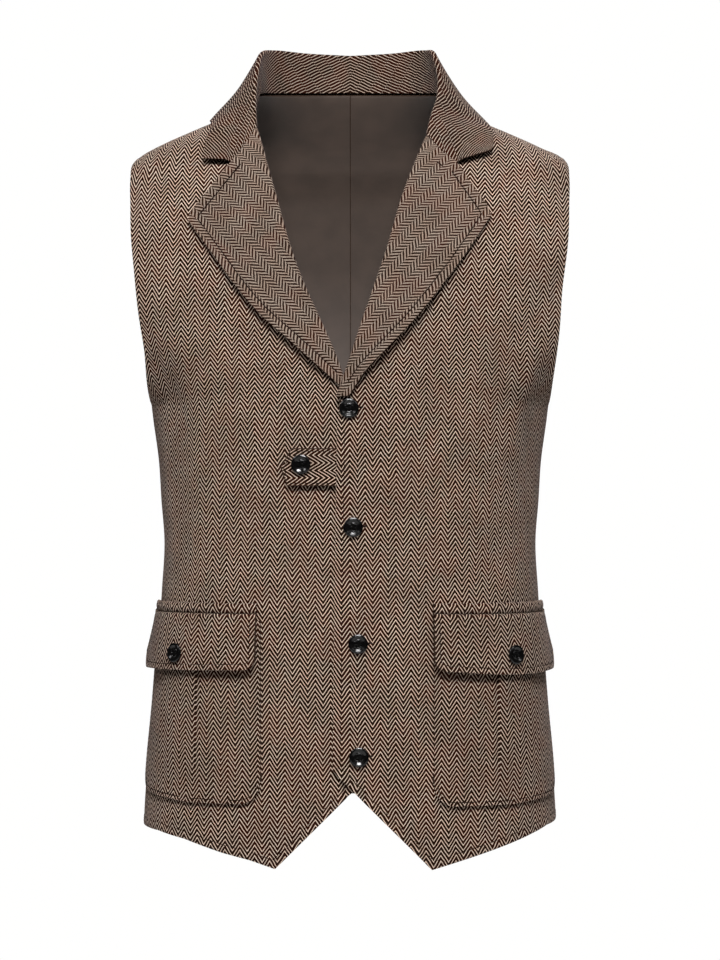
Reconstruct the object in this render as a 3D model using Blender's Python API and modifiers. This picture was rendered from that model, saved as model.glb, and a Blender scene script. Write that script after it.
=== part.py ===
"""Herringbone waistcoat with notched lapels, worn form, built as thin cloth walls.

Frame: metres in the scene, +Z up, the front faces -Y, +X is the wearer's left.
The origin lies between the wearer's shoulders, where they carry the garment.
All sizes below are millimetres; MM turns them into metres when a mesh is made.

Every piece is laid out on one form, a stack of flat-fronted rings.  A place on the
form is a girth (distance along the ring from the centre line) and a height, and each
piece lies at its own lift above it, so nothing cuts through what it lies on.
"""
import math
from collections import namedtuple

import bpy
import numpy as np
from mathutils import Vector

MM = 0.001
FRONT = -1
BACK = 1
RIGHT = -1
LEFT = 1

# ---------------------------------------------------------------- driving sizes (mm)
WALL = 2.0                # cloth with its inner layer
SEAM_GAP = 0.3            # between two pieces that are sewn edge to edge
LAY_GAP = 0.7             # between a panel and what lies on it
OVERLAP_LIFT = 2.7        # the top front above the form, where it covers the other
CHART_STEP = 3.0          # between the charted heights of the form
CHART_ANGLE_COUNT = 161   # charted angles over a quarter of a ring
LAST_CELL = 1.001         # keeps a reading inside the chart's last cell
NORMAL_STEP = 2.0         # either side of a place, to read the form's normal
FIELD_STEP = 0.5          # either side of a point, to read the way out of the form
REST_PASSES = 4           # of moving points out until they clear the form

# One row for each level of the form: half_width is the outline in the front view.
Level = namedtuple("Level", "height half_width depth_front depth_back roundness")
LEVELS = [
    Level(-660, 184.0, 103, 112, 2.50),
    Level(-612, 183.0, 104, 113, 2.50),
    Level(-558, 179.5, 105, 111, 2.48),
    Level(-504, 174.0, 106, 106, 2.42),
    Level(-450, 169.8, 106, 101, 2.36),
    Level(-405, 167.0, 106, 97, 2.32),
    Level(-360, 164.7, 106, 95, 2.30),
    Level(-324, 167.4, 107, 98, 2.30),
    Level(-288, 169.7, 109, 105, 2.30),
    Level(-252, 174.6, 110, 112, 2.30),
    Level(-216, 178.7, 110, 117, 2.30),
    Level(-162, 184.5, 106, 119, 2.30),
    Level(-126, 188.0, 101, 117, 2.30),
    Level(-90, 191.7, 93, 112, 2.30),
    Level(-63, 193.0, 84, 107, 2.30),
    Level(-42, 193.8, 76, 102, 2.30),
    Level(-29, 192.5, 70, 97, 2.30),
    Level(-22, 187.5, 67, 94, 2.30),
    Level(-12, 170.0, 62, 91, 2.30),
    Level(0, 143.5, 55, 87, 2.30),
    Level(14, 111.5, 45, 81, 2.25),
    Level(28, 90.5, 31, 75, 2.20),
    Level(42, 80.0, 18, 69, 2.15),
    Level(60, 76.0, 14, 64, 2.10),
]
# The armhole edge stands off the side line by a share of the depth, as a round-ended oval.
SCYE_TOP, SCYE_BOTTOM = -22.0, -238.0
SCYE_SHARE = 0.69
SCYE_ROUNDNESS = 2.2

# Soft troughs (-) and ridges (+) in the cloth: centre, run, half sizes and depth.
Crease = namedtuple("Crease", "face girth height lean half_length half_width depth")
CREASES = [
    Crease(FRONT, 172, -158, 35, 62, 15, -3.0),
    Crease(FRONT, 158, -226, 14, 52, 11, 2.6),
    Crease(FRONT, 176, -290, 8, 70, 15, -2.6),
    Crease(FRONT, 140, -330, 6, 62, 16, -1.8),
    Crease(FRONT, -178, -205, -28, 58, 15, -3.0),
    Crease(FRONT, -160, -300, -5, 92, 17, -2.2),
    Crease(FRONT, -128, -345, -4, 80, 15, 1.4),
    Crease(FRONT, 96, -396, 60, 48, 14, -1.4),
    Crease(BACK, 0, -352, 90, 120, 24, -2.6),
    Crease(BACK, 118, -206, 32, 78, 17, -3.0),
    Crease(BACK, -118, -206, -32, 78, 17, -3.0),
    Crease(BACK, 66, -440, 14, 92, 20, 2.2),
    Crease(BACK, -74, -452, -10, 84, 20, 2.2),
    Crease(BACK, 150, -330, 20, 60, 16, -2.2),
    Crease(BACK, -150, -322, -24, 66, 16, -2.2),
]


# ---------------------------------------------------------------- the form
def through(knots, values, at):
    """Smooth curve through a table: cubic pieces whose slopes come from both neighbours."""
    knots = np.asarray(knots, float)
    values = np.asarray(values, float)
    slopes = np.gradient(values, knots)
    at = np.clip(np.asarray(at, float), knots[0], knots[-1])
    cell = np.clip(np.searchsorted(knots, at, side="right") - 1, 0, len(knots) - 2)
    step = knots[cell + 1] - knots[cell]
    t = (at - knots[cell]) / step
    rise = (values[cell + 1] - values[cell]) / step
    start, end = slopes[cell], slopes[cell + 1]
    bend = (start + end - 2 * rise) * t + (3 * rise - 2 * start - end)
    return values[cell] + step * t * (start + t * bend)


def level_column(name, height):
    """One column of the LEVELS table, read smoothly at any height."""
    return through([row.height for row in LEVELS], [getattr(row, name) for row in LEVELS], height)


def scye_share(height):
    """How far the armhole edge stands off the side line, as a share of the depth."""
    middle, half = (SCYE_TOP + SCYE_BOTTOM) / 2, (SCYE_TOP - SCYE_BOTTOM) / 2
    along = np.clip(np.abs((height - middle) / half), 0, 1)
    return SCYE_SHARE * (1 - along ** SCYE_ROUNDNESS) ** (1 / SCYE_ROUNDNESS)


def side_reach(height):
    """Half width of the whole ring: the outline, widened where the armhole cuts it short."""
    roundness = level_column("roundness", height)
    cut = scye_share(height) ** roundness
    return level_column("half_width", height) / (1 - cut) ** (1 / roundness)


def ring_place(angle, height, face):
    """Point of the bare ring at an angle from the centre line (0) to the side (90 degrees)."""
    power = 2 / level_column("roundness", height)
    depth = level_column("depth_front" if face == FRONT else "depth_back", height)
    across = np.sign(angle) * side_reach(height) * np.abs(np.sin(angle)) ** power
    out = face * depth * np.sign(np.cos(angle)) * np.abs(np.cos(angle)) ** power
    return np.stack([across, out, np.broadcast_to(height, across.shape)], axis=-1)


CHART_HEIGHTS = np.arange(LEVELS[0].height, LEVELS[-1].height + CHART_STEP / 2, CHART_STEP)
CHART_ANGLES = np.linspace(0, math.pi / 2, CHART_ANGLE_COUNT)


def make_chart(face):
    """Arc length by height and angle, and the angle by height and share of the quarter ring."""
    heights, angles = np.meshgrid(CHART_HEIGHTS, CHART_ANGLES, indexing="ij")
    places = ring_place(angles, heights, face)
    steps = np.linalg.norm(np.diff(places, axis=1), axis=-1)
    arcs = np.concatenate([np.zeros((len(CHART_HEIGHTS), 1)), np.cumsum(steps, axis=1)], axis=1)
    shares = np.linspace(0, 1, len(CHART_ANGLES))
    inverse = [np.interp(shares * row[-1], row, CHART_ANGLES) for row in arcs]
    return arcs, np.array(inverse)


CHARTS = {face: make_chart(face) for face in (FRONT, BACK)}


def read_chart(table, height, column):
    """Bilinear reading of a chart; column runs from 0 to 1 over the quarter ring."""
    row = np.clip((height - CHART_HEIGHTS[0]) / CHART_STEP, 0, len(table) - LAST_CELL)
    col = np.clip(column, 0, 1) * (table.shape[1] - LAST_CELL)
    i, j = row.astype(int), col.astype(int)
    u, v = row - i, col - j
    low = table[i, j] * (1 - v) + table[i, j + 1] * v
    high = table[i + 1, j] * (1 - v) + table[i + 1, j + 1] * v
    return low * (1 - u) + high * u


def quarter_girth(height, face):
    """Girth from the centre line to the side or shoulder line."""
    height = np.asarray(height, float)
    return np.interp(height, CHART_HEIGHTS, CHARTS[face][0][:, -1])


def girth_at_angle(angle, height, face):
    """Girth of the point at a ring angle."""
    return np.sign(angle) * read_chart(CHARTS[face][0], height, np.abs(angle) / (math.pi / 2))


def girth_at_width(across, height, face=FRONT):
    """Girth of the point that lies a given distance from the middle plane."""
    height = np.broadcast_to(np.asarray(height, float), np.shape(across))
    share = np.clip(np.abs(across) / side_reach(height), 0, 1)
    angle = np.arcsin(share ** (level_column("roundness", height) / 2))
    return girth_at_angle(np.sign(across) * angle, height, face)


def girth_at_scye(height, face):
    """Girth of the armhole edge, or of the side and shoulder line where there is none."""
    height = np.asarray(height, float)
    angle = np.arccos(scye_share(height) ** (level_column("roundness", height) / 2))
    return girth_at_angle(angle, height, face)


def drape(girth, height, face):
    """Height of the soft creases: each is a smooth mound, long along its run."""
    total = np.zeros(np.shape(girth))
    for crease in CREASES:
        if crease.face != face:
            continue
        lean = math.radians(crease.lean)
        aside, rise = girth - crease.girth, height - crease.height
        along = (rise * math.cos(lean) + aside * math.sin(lean)) / crease.half_length
        over = (aside * math.cos(lean) - rise * math.sin(lean)) / crease.half_width
        total = total + crease.depth * np.exp(-along ** 2 - over ** 2)
    return total


def bare_form(girth, height, face):
    """Point of the ring form at a girth and height, before the creases."""
    share = np.abs(girth) / quarter_girth(height, face)
    angle = read_chart(CHARTS[face][1], height, share)
    return ring_place(np.sign(girth) * angle, height, face)


def outward(girth, height, face):
    """Unit normal of the form, from the points a small step either side."""
    step = NORMAL_STEP
    limit = quarter_girth(height, face) - step
    middle = np.clip(girth, -limit, limit)
    along = bare_form(middle + step, height, face) - bare_form(middle - step, height, face)
    up = bare_form(girth, height + step, face) - bare_form(girth, height - step, face)
    normal = np.cross(along, up) if face == FRONT else np.cross(up, along)
    return normal / np.linalg.norm(normal, axis=-1, keepdims=True)


def form(girth, height, lift, face=FRONT):
    """Point of the worn cloth: the form, its creases, and a lift along the normal."""
    girth, height, lift = np.broadcast_arrays(*(np.asarray(v, float) for v in (girth, height, lift)))
    normal = outward(girth, height, face)
    raised = (lift + drape(girth, height, face))[..., None]
    return bare_form(girth, height, face) + raised * normal


def above_form(points):
    """Distance of each point from the ring form, and the way straight out of it."""
    def field(place):
        """Ring size that would pass through a point, less one: zero on the form."""
        across, out, height = place[..., 0], place[..., 1], place[..., 2]
        roundness = level_column("roundness", height)
        deep = np.where(out < 0, level_column("depth_front", height), level_column("depth_back", height))
        total = (np.abs(across) / side_reach(height)) ** roundness + (np.abs(out) / deep) ** roundness
        return total ** (1 / roundness) - 1
    step = FIELD_STEP
    slopes = []
    for axis in np.eye(3):
        slopes.append((field(points + step * axis) - field(points - step * axis)) / (2 * step))
    slope = np.stack(slopes, axis=-1)
    steep = np.linalg.norm(slope, axis=-1, keepdims=True)
    return field(points) / steep[..., 0], slope / steep


def rest_on_form(points, clearance):
    """Move the points that come too near the form straight out, until they just clear it."""
    for _ in range(REST_PASSES):
        distance, way = above_form(points)
        short = np.maximum(clearance - distance, 0)
        points = points + short[..., None] * way
    return points


# ---------------------------------------------------------------- outlines (mm)
# Outlines are outward distances: positive is away from the middle, on either side.
FOLD_BACK = 3.1           # the panel's edge behind the fold of its lapel
BREAK_HEIGHT = {LEFT: -234.0, RIGHT: -224.0}
GORGE_HEIGHT = {LEFT: -5.0, RIGHT: 3.0}
Point = namedtuple("Point", "width height")
NECK_POINT = Point(80.0, 42.0)
ROLL_LINE = {
    LEFT: [Point(-10.5, -234), Point(0.4, -202), Point(11.6, -168), Point(23.7, -133),
           Point(35.0, -98), Point(45.2, -62), Point(55.0, -35), Point(62.6, -16), Point(68.5, -2)],
    RIGHT: [Point(3.4, -224), Point(10.8, -202), Point(25.5, -168), Point(41.2, -133),
            Point(53.5, -98), Point(63.5, -62), Point(71.5, -34), Point(78.0, -10), Point(82.0, 3)],
}
NECKLINE = {
    LEFT: [Point(75.5, 10), Point(79.0, 24), Point(80.5, 34), Point(80.0, 42)],
    RIGHT: [Point(85.0, 14), Point(84.0, 25), Point(82.0, 35), Point(80.0, 42)],
}
NECK_EASE = 1.8           # the panels' neck edges stand this far back from the collar's seam line
FRONT_EDGE = {
    LEFT: [Point(-14.6, -580), Point(-14.3, -556), Point(-12.3, -400), Point(-10.4, -262)],
    RIGHT: [Point(-18, -580), Point(-18, -556), Point(-18, -400), Point(-18, -285), Point(-10, -258)],
}
# Hem by girth, from the front edge over the pointed tip to the side seam.
HEM_TIP = {LEFT: 71.5, RIGHT: 64.7}
HEM = {
    LEFT: [Point(-14.6, -556.6), Point(71.5, -643.8), Point(111, -632.5), Point(137, -625),
           Point(168, -616), Point(190, -610.5), Point(239, -607)],
    RIGHT: [Point(-18, -559.6), Point(64.7, -642.8), Point(87, -635.5), Point(111, -630),
            Point(148, -619.5), Point(180, -614.5), Point(239, -612)],
}
BACK_HEM_MIDDLE = -600.0
# How far the top front's inner face stands off the form where it covers the other front.
TOP_LIFT = [Point(OVERLAP_LIFT, -660), Point(OVERLAP_LIFT, -333), Point(5.1, -318), Point(5.1, -250),
            Point(6.3, -226), Point(6.3, -180), Point(3.0, -90), Point(0, -20), Point(0, 60)]
TOP_LIFT_FULL, TOP_LIFT_END = 17.0, 78.0

FRONT_LEVELS = [-545, -515, -485, -455, -425, -395, -365, -333, -318, -285, -258, -247, -238, -234,
                -224, -214, -200, -180, -158, -136, -112, -90, -68, -50, -36, -27, -22, -14, -4, 7,
                16, 25, 33]
BACK_LEVELS = [-570, -530, -490, -450, -410, -375, -340, -305, -275, -252, -238, -234, -225, -214,
               -196, -170, -140, -110, -84, -62, -44, -32, -25, -22, -12, 0, 13, 26, 34]
HEM_ROWS = 4
TIP_COLUMNS, OUTER_COLUMNS = 5, 9
BACK_COLUMNS = 10
BACK_NECK_RISE = 9.0
BACK_NECK_DROP = 0.5      # of the back's neck point below the front's


def table(rows):
    """Heights and widths of a list of points, ready for a smooth or straight reading."""
    return [row.height for row in rows], [row.width for row in rows]


def ramp(value, start, end):
    """Smooth step from 0 at start to 1 at end."""
    t = np.clip((value - start) / (end - start), 0, 1)
    return t * t * (3 - 2 * t)


def panel_lift(side, girth, height):
    """Lift of a front panel's inner face: the top front rises where it covers the other."""
    if side == RIGHT:
        return np.zeros(np.broadcast(girth, height).shape)
    fade = 1 - ramp(np.asarray(girth, float), TOP_LIFT_FULL, TOP_LIFT_END)
    return np.interp(height, *table(TOP_LIFT)) * fade


def roll_width(side, height):
    """Outward distance of the roll line at a height."""
    return through(*table(ROLL_LINE[side]), height)


def panel_edge_width(side, height, ease=NECK_EASE):
    """Outward distance of a front panel's inner edge, from the hem to the neck point."""
    folded = [Point(p.width + FOLD_BACK, p.height) for p in ROLL_LINE[side]]
    eased = [Point(p.width + ease, p.height) for p in NECKLINE[side]]
    heights, widths = table(FRONT_EDGE[side] + folded + eased)
    return np.interp(height, heights, widths)


def front_grid(side):
    """Points of a front panel's inner face, rows from the hem up, columns outwards."""
    low = np.array([p.width for p in HEM[side]])
    hem_girths = np.concatenate([np.linspace(low[0], HEM_TIP[side], TIP_COLUMNS + 1),
                                 np.linspace(HEM_TIP[side], low[-1], OUTER_COLUMNS + 1)[1:]])
    shares = (hem_girths - low[0]) / (low[-1] - low[0])
    hem = np.interp(hem_girths, low, [p.height for p in HEM[side]])
    first = FRONT_LEVELS[0]
    rows = [hem + (first - hem) * k / HEM_ROWS for k in range(HEM_ROWS)]
    rows += [np.full(shares.shape, float(level)) for level in FRONT_LEVELS]
    height = np.array(rows)
    inner = girth_at_width(panel_edge_width(side, height), height)
    outer = girth_at_scye(height, FRONT) - SEAM_GAP / 2
    girth = inner + shares * (outer - inner)
    return form(side * girth, height, panel_lift(side, girth, height))


def back_neck_height(share):
    """Height of the back's neck edge, from the middle (0) out to the neck point (1)."""
    return NECK_POINT.height - BACK_NECK_DROP + BACK_NECK_RISE * (1 - share ** 2)


def back_grid(side):
    """Points of a back half's inner face, rows from the hem up, columns outwards."""
    shares = np.linspace(0, 1, BACK_COLUMNS + 1)
    hem = BACK_HEM_MIDDLE + (HEM[side][-1].height - BACK_HEM_MIDDLE) * shares ** 2
    top = back_neck_height(shares) - NECK_EASE
    middle = [np.full(shares.shape, float(level)) for level in BACK_LEVELS]
    height = np.array([hem] + middle + [0.5 * (BACK_LEVELS[-1] + top), top])
    inner = SEAM_GAP / 2
    outer = girth_at_scye(height, BACK) - SEAM_GAP / 2
    return form(side * (inner + shares * (outer - inner)), height, 0, BACK)


# ---------------------------------------------------------------- lapels and collar
FOLD_RADIUS = 1.65        # of the middle of the wall round the folded edge
FOLD_STEPS = 4
LEAF_LIFT = WALL + LAY_GAP + WALL / 2
LAPEL_ROWS = 18
GORGE_COLUMNS, NOTCH_COLUMNS = 3, 5
GORGE_GAP = 0.8           # of the collar's end and of the lapel's top, each from the gorge line
LEAF_SETTLE = 16.0        # run from the roll line over which a leaf comes to rest on the panel

# The notch: its inner corner at the gorge seam, then the two points of the lapel's blunt tip.
NOTCH = {
    LEFT: [Point(92.3, -30.0), Point(118.5, -68.5), Point(122.3, -77.0)],
    RIGHT: [Point(102.5, -28.8), Point(137.0, -73.0), Point(139.6, -81.5)],
}
LAPEL_EDGE = {
    LEFT: [Point(0.0, -233.5), Point(12.4, -214.6), Point(33.2, -192.1), Point(54.8, -168.7),
           Point(80.0, -137.2), Point(101.0, -108.9), Point(122.3, -77.0)],
    RIGHT: [Point(8.6, -224.5), Point(31.5, -204.2), Point(52.3, -185.1), Point(73.1, -166.8),
            Point(94.1, -143.2), Point(116.1, -113.2), Point(139.6, -81.5)],
}
COLLAR_CORNER = {LEFT: Point(126.4, -14.6), RIGHT: Point(129.3, -25.0)}
LAPEL_STAND_OFF = {LEFT: 4.5, RIGHT: 1.8}    # of the outer edge, greatest low down
STAND_OFF_FADE = (0.35, 0.95)                # shares of the roll line over which it fades
STAND_OFF_LEAF = 25.0                        # width of leaf from which it is full


def along_outline(points, count):
    """Evenly spaced places along an outline given as points: widths and heights."""
    places = np.array([(p.width, p.height) for p in points])
    runs = np.concatenate([[0], np.cumsum(np.linalg.norm(np.diff(places, axis=0), axis=1))])
    at = np.linspace(0, runs[-1], count)
    return np.stack([through(runs, places[:, 0], at), through(runs, places[:, 1], at)], axis=-1)


def straight(start, end, count):
    """Evenly spaced places on a straight line between two outline points."""
    share = np.linspace(0, 1, count)[:, None]
    return np.array([start]) * (1 - share) + np.array([end]) * share


def lapel_flat(side):
    """Places of the lapel in the front view, rows up the roll line, columns out to the edge."""
    heights = np.linspace(BREAK_HEIGHT[side], GORGE_HEIGHT[side] - GORGE_GAP, LAPEL_ROWS)
    roll = np.stack([roll_width(side, heights), heights], axis=-1)
    edge = along_outline(LAPEL_EDGE[side], LAPEL_ROWS)
    corner = NOTCH[side][0]
    gorge = straight(roll[-1], (corner.width, corner.height - GORGE_GAP), GORGE_COLUMNS + 1)
    notch_edge = straight(gorge[-1], NOTCH[side][1], NOTCH_COLUMNS)[1:]
    top = np.concatenate([gorge, notch_edge, np.array(NOTCH[side][2:])])
    low = straight(roll[0], edge[0], len(top))
    runs = np.concatenate([[0], np.cumsum(np.linalg.norm(np.diff(top, axis=0), axis=1))])
    across = (runs / runs[-1])[None, :, None]
    up = np.linspace(0, 1, LAPEL_ROWS)[:, None, None]
    sides = roll[:, None] * (1 - across) + edge[:, None] * across
    ends = low[None] * (1 - up) + top[None] * up
    corners = ((roll[0] * (1 - across) + edge[0] * across) * (1 - up)
               + (roll[-1] * (1 - across) + edge[-1] * across) * up)
    return sides + ends - corners


def fold_section(gap):
    """Way round the folded edge: distance out from the roll line, and height over the panel."""
    turn = np.linspace(0, math.pi, FOLD_STEPS + 1)
    middle = WALL / 2 + FOLD_RADIUS
    out = FOLD_RADIUS - FOLD_RADIUS * np.sin(turn)
    rise = middle - FOLD_RADIUS * np.cos(turn)
    start = [[FOLD_BACK - gap, WALL / 2]]
    return np.concatenate([start, np.stack([out, rise], axis=-1)])


def lapel_grid(side):
    """Middle of the lapel's wall: under the fold, round it, and over the panel to the edge."""
    flat = lapel_flat(side)
    heading = flat[:, 1] - flat[:, 0]
    heading /= np.linalg.norm(heading, axis=-1, keepdims=True)
    section = fold_section(SEAM_GAP)
    folded = flat[:, :1] + section[None, :, :1] * heading[:, None]
    leaf = np.linalg.norm(flat - flat[:, :1], axis=-1)
    beyond_fold = 1 - FOLD_RADIUS / leaf[:, -1:, None]
    leaf_flat = folded[:, -1:] + (flat[:, 1:] - flat[:, :1]) * beyond_fold
    place = np.concatenate([folded, leaf_flat], axis=1)
    rows = len(flat)
    top_of_fold = section[-1, 1]
    settle = ramp(leaf[:, 1:], FOLD_RADIUS, LEAF_SETTLE)
    reach = leaf[:, 1:] / leaf[:, -1:]
    low_down = 1 - ramp(np.linspace(0, 1, rows), *STAND_OFF_FADE)[:, None]
    stand = LAPEL_STAND_OFF[side] * low_down * reach ** 2 * ramp(leaf[:, -1:], 0, STAND_OFF_LEAF)
    leaf_lift = top_of_fold + (LEAF_LIFT - top_of_fold) * settle + stand
    lift = np.concatenate([np.broadcast_to(section[:, 1], (rows, len(section))), leaf_lift], axis=1)
    girth = girth_at_width(place[..., 0], place[..., 1])
    return form(side * girth, place[..., 1], lift + panel_lift(side, girth, place[..., 1]))


# Collar stations from the front end (0) to the middle of the back (1): the place of the
# neck seam as a share of the neckline, the crest of the fold and the outer edge.
# x is outwards, y is to the back.
Station = namedtuple("Station", "at seam fold_x fold_y fold_z edge_x edge_y edge_z")
COLLAR = {
    RIGHT: [
        Station(0.00, 0.00, 82.0, -52, 4, 129.0, -60, -22),
        Station(0.12, 0.10, 83.5, -39, 24, 127.5, -52, -10),
        Station(0.24, 0.20, 84.0, -17, 50, 124.5, -40, 1),
        Station(0.36, 0.30, 82.5, 0, 69, 123.5, -22, 10),
        Station(0.48, 0.40, 80.0, 19, 83, 125.0, 4, 16),
        Station(0.64, 0.58, 69.0, 46, 89, 104.0, 52, 20),
        Station(0.82, 0.79, 39.0, 67, 89, 58.0, 84, 29),
        Station(1.00, 1.00, 0.0, 75, 88, 0.0, 93, 34),
    ],
    LEFT: [
        Station(0.00, 0.00, 69.0, -59, -4, 126.4, -55, -12),
        Station(0.12, 0.10, 73.5, -37, 18, 127.5, -46, -6),
        Station(0.24, 0.20, 78.0, -20, 37, 126.0, -34, 3),
        Station(0.36, 0.30, 79.5, 0, 60, 122.5, -18, 12),
        Station(0.48, 0.40, 76.0, 19, 82, 119.0, 6, 19),
        Station(0.64, 0.58, 67.0, 46, 89, 102.0, 52, 20),
        Station(0.82, 0.79, 38.0, 67, 89, 58.0, 84, 29),
        Station(1.00, 1.00, 0.0, 75, 88, 0.0, 93, 34),
    ],
}
COLLAR_ROWS = 15          # for each half, the middle one shared
LEAF_COLUMNS = 7
LEAF_SAG = 3.0
END_BLEND = 0.30          # share of the half collar over which its end takes the notch's shape
COLLAR_LIFT = 4.2         # of the collar's leaf above the form, at the least
FRONT_NECK_PLACES, BACK_NECK_PLACES = 12, 14


def neckline(side, share):
    """Places along the neck edges of a front and a back panel, in the middle of their wall."""
    front_heights = np.linspace(GORGE_HEIGHT[side], NECK_POINT.height, FRONT_NECK_PLACES)
    girth = girth_at_width(panel_edge_width(side, front_heights, 0.0), front_heights)
    front = form(girth, front_heights, WALL / 2 + panel_lift(side, girth, front_heights))
    across = np.linspace(1, 0, BACK_NECK_PLACES)[1:]
    back_heights = back_neck_height(across)
    back = form(across * quarter_girth(back_heights, BACK), back_heights, WALL / 2, BACK)
    places = np.concatenate([front, back])
    runs = np.concatenate([[0], np.cumsum(np.linalg.norm(np.diff(places, axis=0), axis=1))])
    return np.stack([np.interp(share * runs[-1], runs, places[:, k]) for k in range(3)], axis=-1)


def unit(vectors):
    """Vectors of length one."""
    return vectors / np.linalg.norm(vectors, axis=-1, keepdims=True)


def collar_half(side):
    """Middle of the wall of half the collar, rows from the front end to the middle of the back."""
    stations = COLLAR[side]
    share = np.linspace(0, 1, COLLAR_ROWS)
    read = {name: through([s.at for s in stations], [getattr(s, name) for s in stations], share)
            for name in Station._fields[1:]}
    seam = neckline(side, read["seam"])
    fold, edge = (np.stack([read[f"{line}_{axis}"] for axis in "xyz"], axis=-1) for line in ("fold", "edge"))
    run = unit(np.gradient(fold, axis=0))
    leaf_way = unit(edge - fold - run * np.sum((edge - fold) * run, axis=-1, keepdims=True))
    stand_way = unit(seam - fold - run * np.sum((seam - fold) * run, axis=-1, keepdims=True))
    crest = -unit(leaf_way + stand_way)
    across = unit(np.cross(run, crest))
    across *= np.sign(np.sum(across * (edge - seam), axis=-1, keepdims=True))
    turn = np.linspace(0, math.pi, FOLD_STEPS + 1)[None, :, None]
    centre = (fold - crest * FOLD_RADIUS)[:, None]
    arc = centre - FOLD_RADIUS * (np.cos(turn) * across[:, None] - np.sin(turn) * crest[:, None])
    along = np.linspace(0, 1, LEAF_COLUMNS + 1)[None, 1:, None]
    sag = LEAF_SAG * (across + crest)[:, None] * 2 * along * (1 - along)
    leaf = arc[:, -1:] * (1 - along) + edge[:, None] * along - sag
    leaf = rest_on_form(leaf, COLLAR_LIFT)
    grid = np.concatenate([seam[:, None], arc, leaf], axis=1)
    ending = collar_end(side)
    weight = (1 - ramp(share, 0, END_BLEND))[:, None, None]
    grid = grid + weight * (ending - grid[0])[None]
    leaf_start = 1 + FOLD_STEPS + 1
    grid[:, leaf_start:] = rest_on_form(grid[:, leaf_start:], COLLAR_LIFT)
    return grid * [side, 1, 1]


def collar_end(side):
    """The collar's end row: round the fold, along the gorge seam, then out to its free corner."""
    corner = NOTCH[side][0]
    height = GORGE_HEIGHT[side] + GORGE_GAP
    roll = np.array([roll_width(side, height), height])
    heading = np.array([corner.width, corner.height]) - roll
    heading /= np.linalg.norm(heading)
    section = fold_section(GORGE_GAP)
    folded = roll + section[:, :1] * heading
    gorge = straight(roll, (corner.width, corner.height + GORGE_GAP), GORGE_COLUMNS + 1)[1:]
    free = straight(gorge[-1], COLLAR_CORNER[side], LEAF_COLUMNS - GORGE_COLUMNS + 1)[1:]
    place = np.concatenate([folded, gorge, free])
    lift = np.concatenate([section[:, 1], np.full(LEAF_COLUMNS, LEAF_LIFT)])
    lift[len(section)] = 0.5 * (section[-1, 1] + LEAF_LIFT)
    girth = girth_at_width(place[:, 0], place[:, 1])
    return form(girth, place[:, 1], lift + panel_lift(side, girth, place[:, 1]))


def collar_grid():
    """The whole collar in one sheet, from the wearer's right end to the left end."""
    right, left = collar_half(RIGHT), collar_half(LEFT)
    middle = 0.5 * (right[-1:] + left[-1:])
    return np.concatenate([right[:-1], middle, left[-2::-1]])


# ---------------------------------------------------------------- pockets, flaps and tab
# One row for each side: where the patch pocket and its flap lie, by girth and height.
Pocket = namedtuple(
    "Pocket", "inner outer top bottom outer_bottom inner_round outer_round pleat_in pleat_out")
POCKETS = {
    LEFT: Pocket(72.8, 221.0, -428, -589.0, -583.0, 19.0, 16.0, 131.0, 171.0),
    RIGHT: Pocket(77.0, 221.0, -428, -587.0, -580.0, 19.0, 16.0, 136.0, 177.0),
}
POCKET_ROWS, POCKET_COLUMNS = 11, 9
CORNER_PLACES = 4         # columns round a rounded corner
COLUMN_CLEARANCE = 5.0    # of an even column from one that a fold needs
PLEAT_RISE = 2.2
PLEAT_SLOPE = 2.6         # run over which the pleat's folded edge rises
PLEAT_START = 0.12        # share of the pocket's height over which the pleat opens
PLEAT_PRESSED = 0.8       # share of its rise that is pressed out under the flap
PLEAT_PRESS_FROM = 0.72
POCKET_PUFF = 0.6         # the patch stands a little off the front in its middle
PUFF_RUN = 0.9            # half waves of the puff over the pocket's height

Flap = namedtuple("Flap", "inner outer top outer_flare bottom bottom_middle outer_bottom rounding")
FLAPS = {
    LEFT: Flap(71.8, 221.5, -414.0, 5.0, -470.0, -475.5, -471.5, 10.0),
    RIGHT: Flap(80.0, 221.5, -414.0, 5.0, -469.5, -471.5, -470.5, 10.0),
}
# Section down the flap: share of its height from the top, and height of the wall's middle.
FLAP_SECTION = [(0.0, 4.1), (0.05, 5.7), (0.11, 5.4), (0.15, 6.0), (0.24, 6.9), (0.45, 7.9),
                (0.70, 8.9), (1.0, 9.5)]
FLAP_COLUMNS = 10
FLARE_START = 0.75        # share of the flap's width from which its outer corner stands off
OUTER_ROUNDING = 0.6      # of the outer corner, as a share of the inner corner's

# Chest tab: girths of its point and of its bottom and top corners, with their heights.
TAB_OUTLINE = [Point(53.4, -311.2), Point(59.5, -294.8), Point(49.8, -278.4)]
TAB_TUCKED_EDGE = 7.0
TAB_COLUMNS, TAB_HALF_ROWS = 6, 3


def corner_rise(girth, inner, outer, inner_round, outer_round):
    """Rise of a pocket's or flap's lower edge: a quarter circle at each corner."""
    rise = np.zeros(np.shape(girth))
    for edge_distance, radius in ((girth - inner, inner_round), (outer - girth, outer_round)):
        into = np.clip(radius - edge_distance, 0, radius)
        rise += radius - np.sqrt(np.maximum(radius ** 2 - into ** 2, 0))
    return rise


def corner_columns(inner, outer, inner_round, outer_round, extra, count):
    """Girths of the columns: close together round the corners and at the given places."""
    turn = np.linspace(0, math.pi / 2, CORNER_PLACES)
    near_inner = inner + inner_round * (1 - np.cos(turn))
    near_outer = outer - outer_round * (1 - np.cos(turn))
    even = np.linspace(inner + inner_round, outer - outer_round, count)[1:-1]
    even = [g for g in even if all(abs(g - e) > COLUMN_CLEARANCE for e in extra)]
    return np.array(sorted([*near_inner, *near_outer, *even, *extra]))


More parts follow.
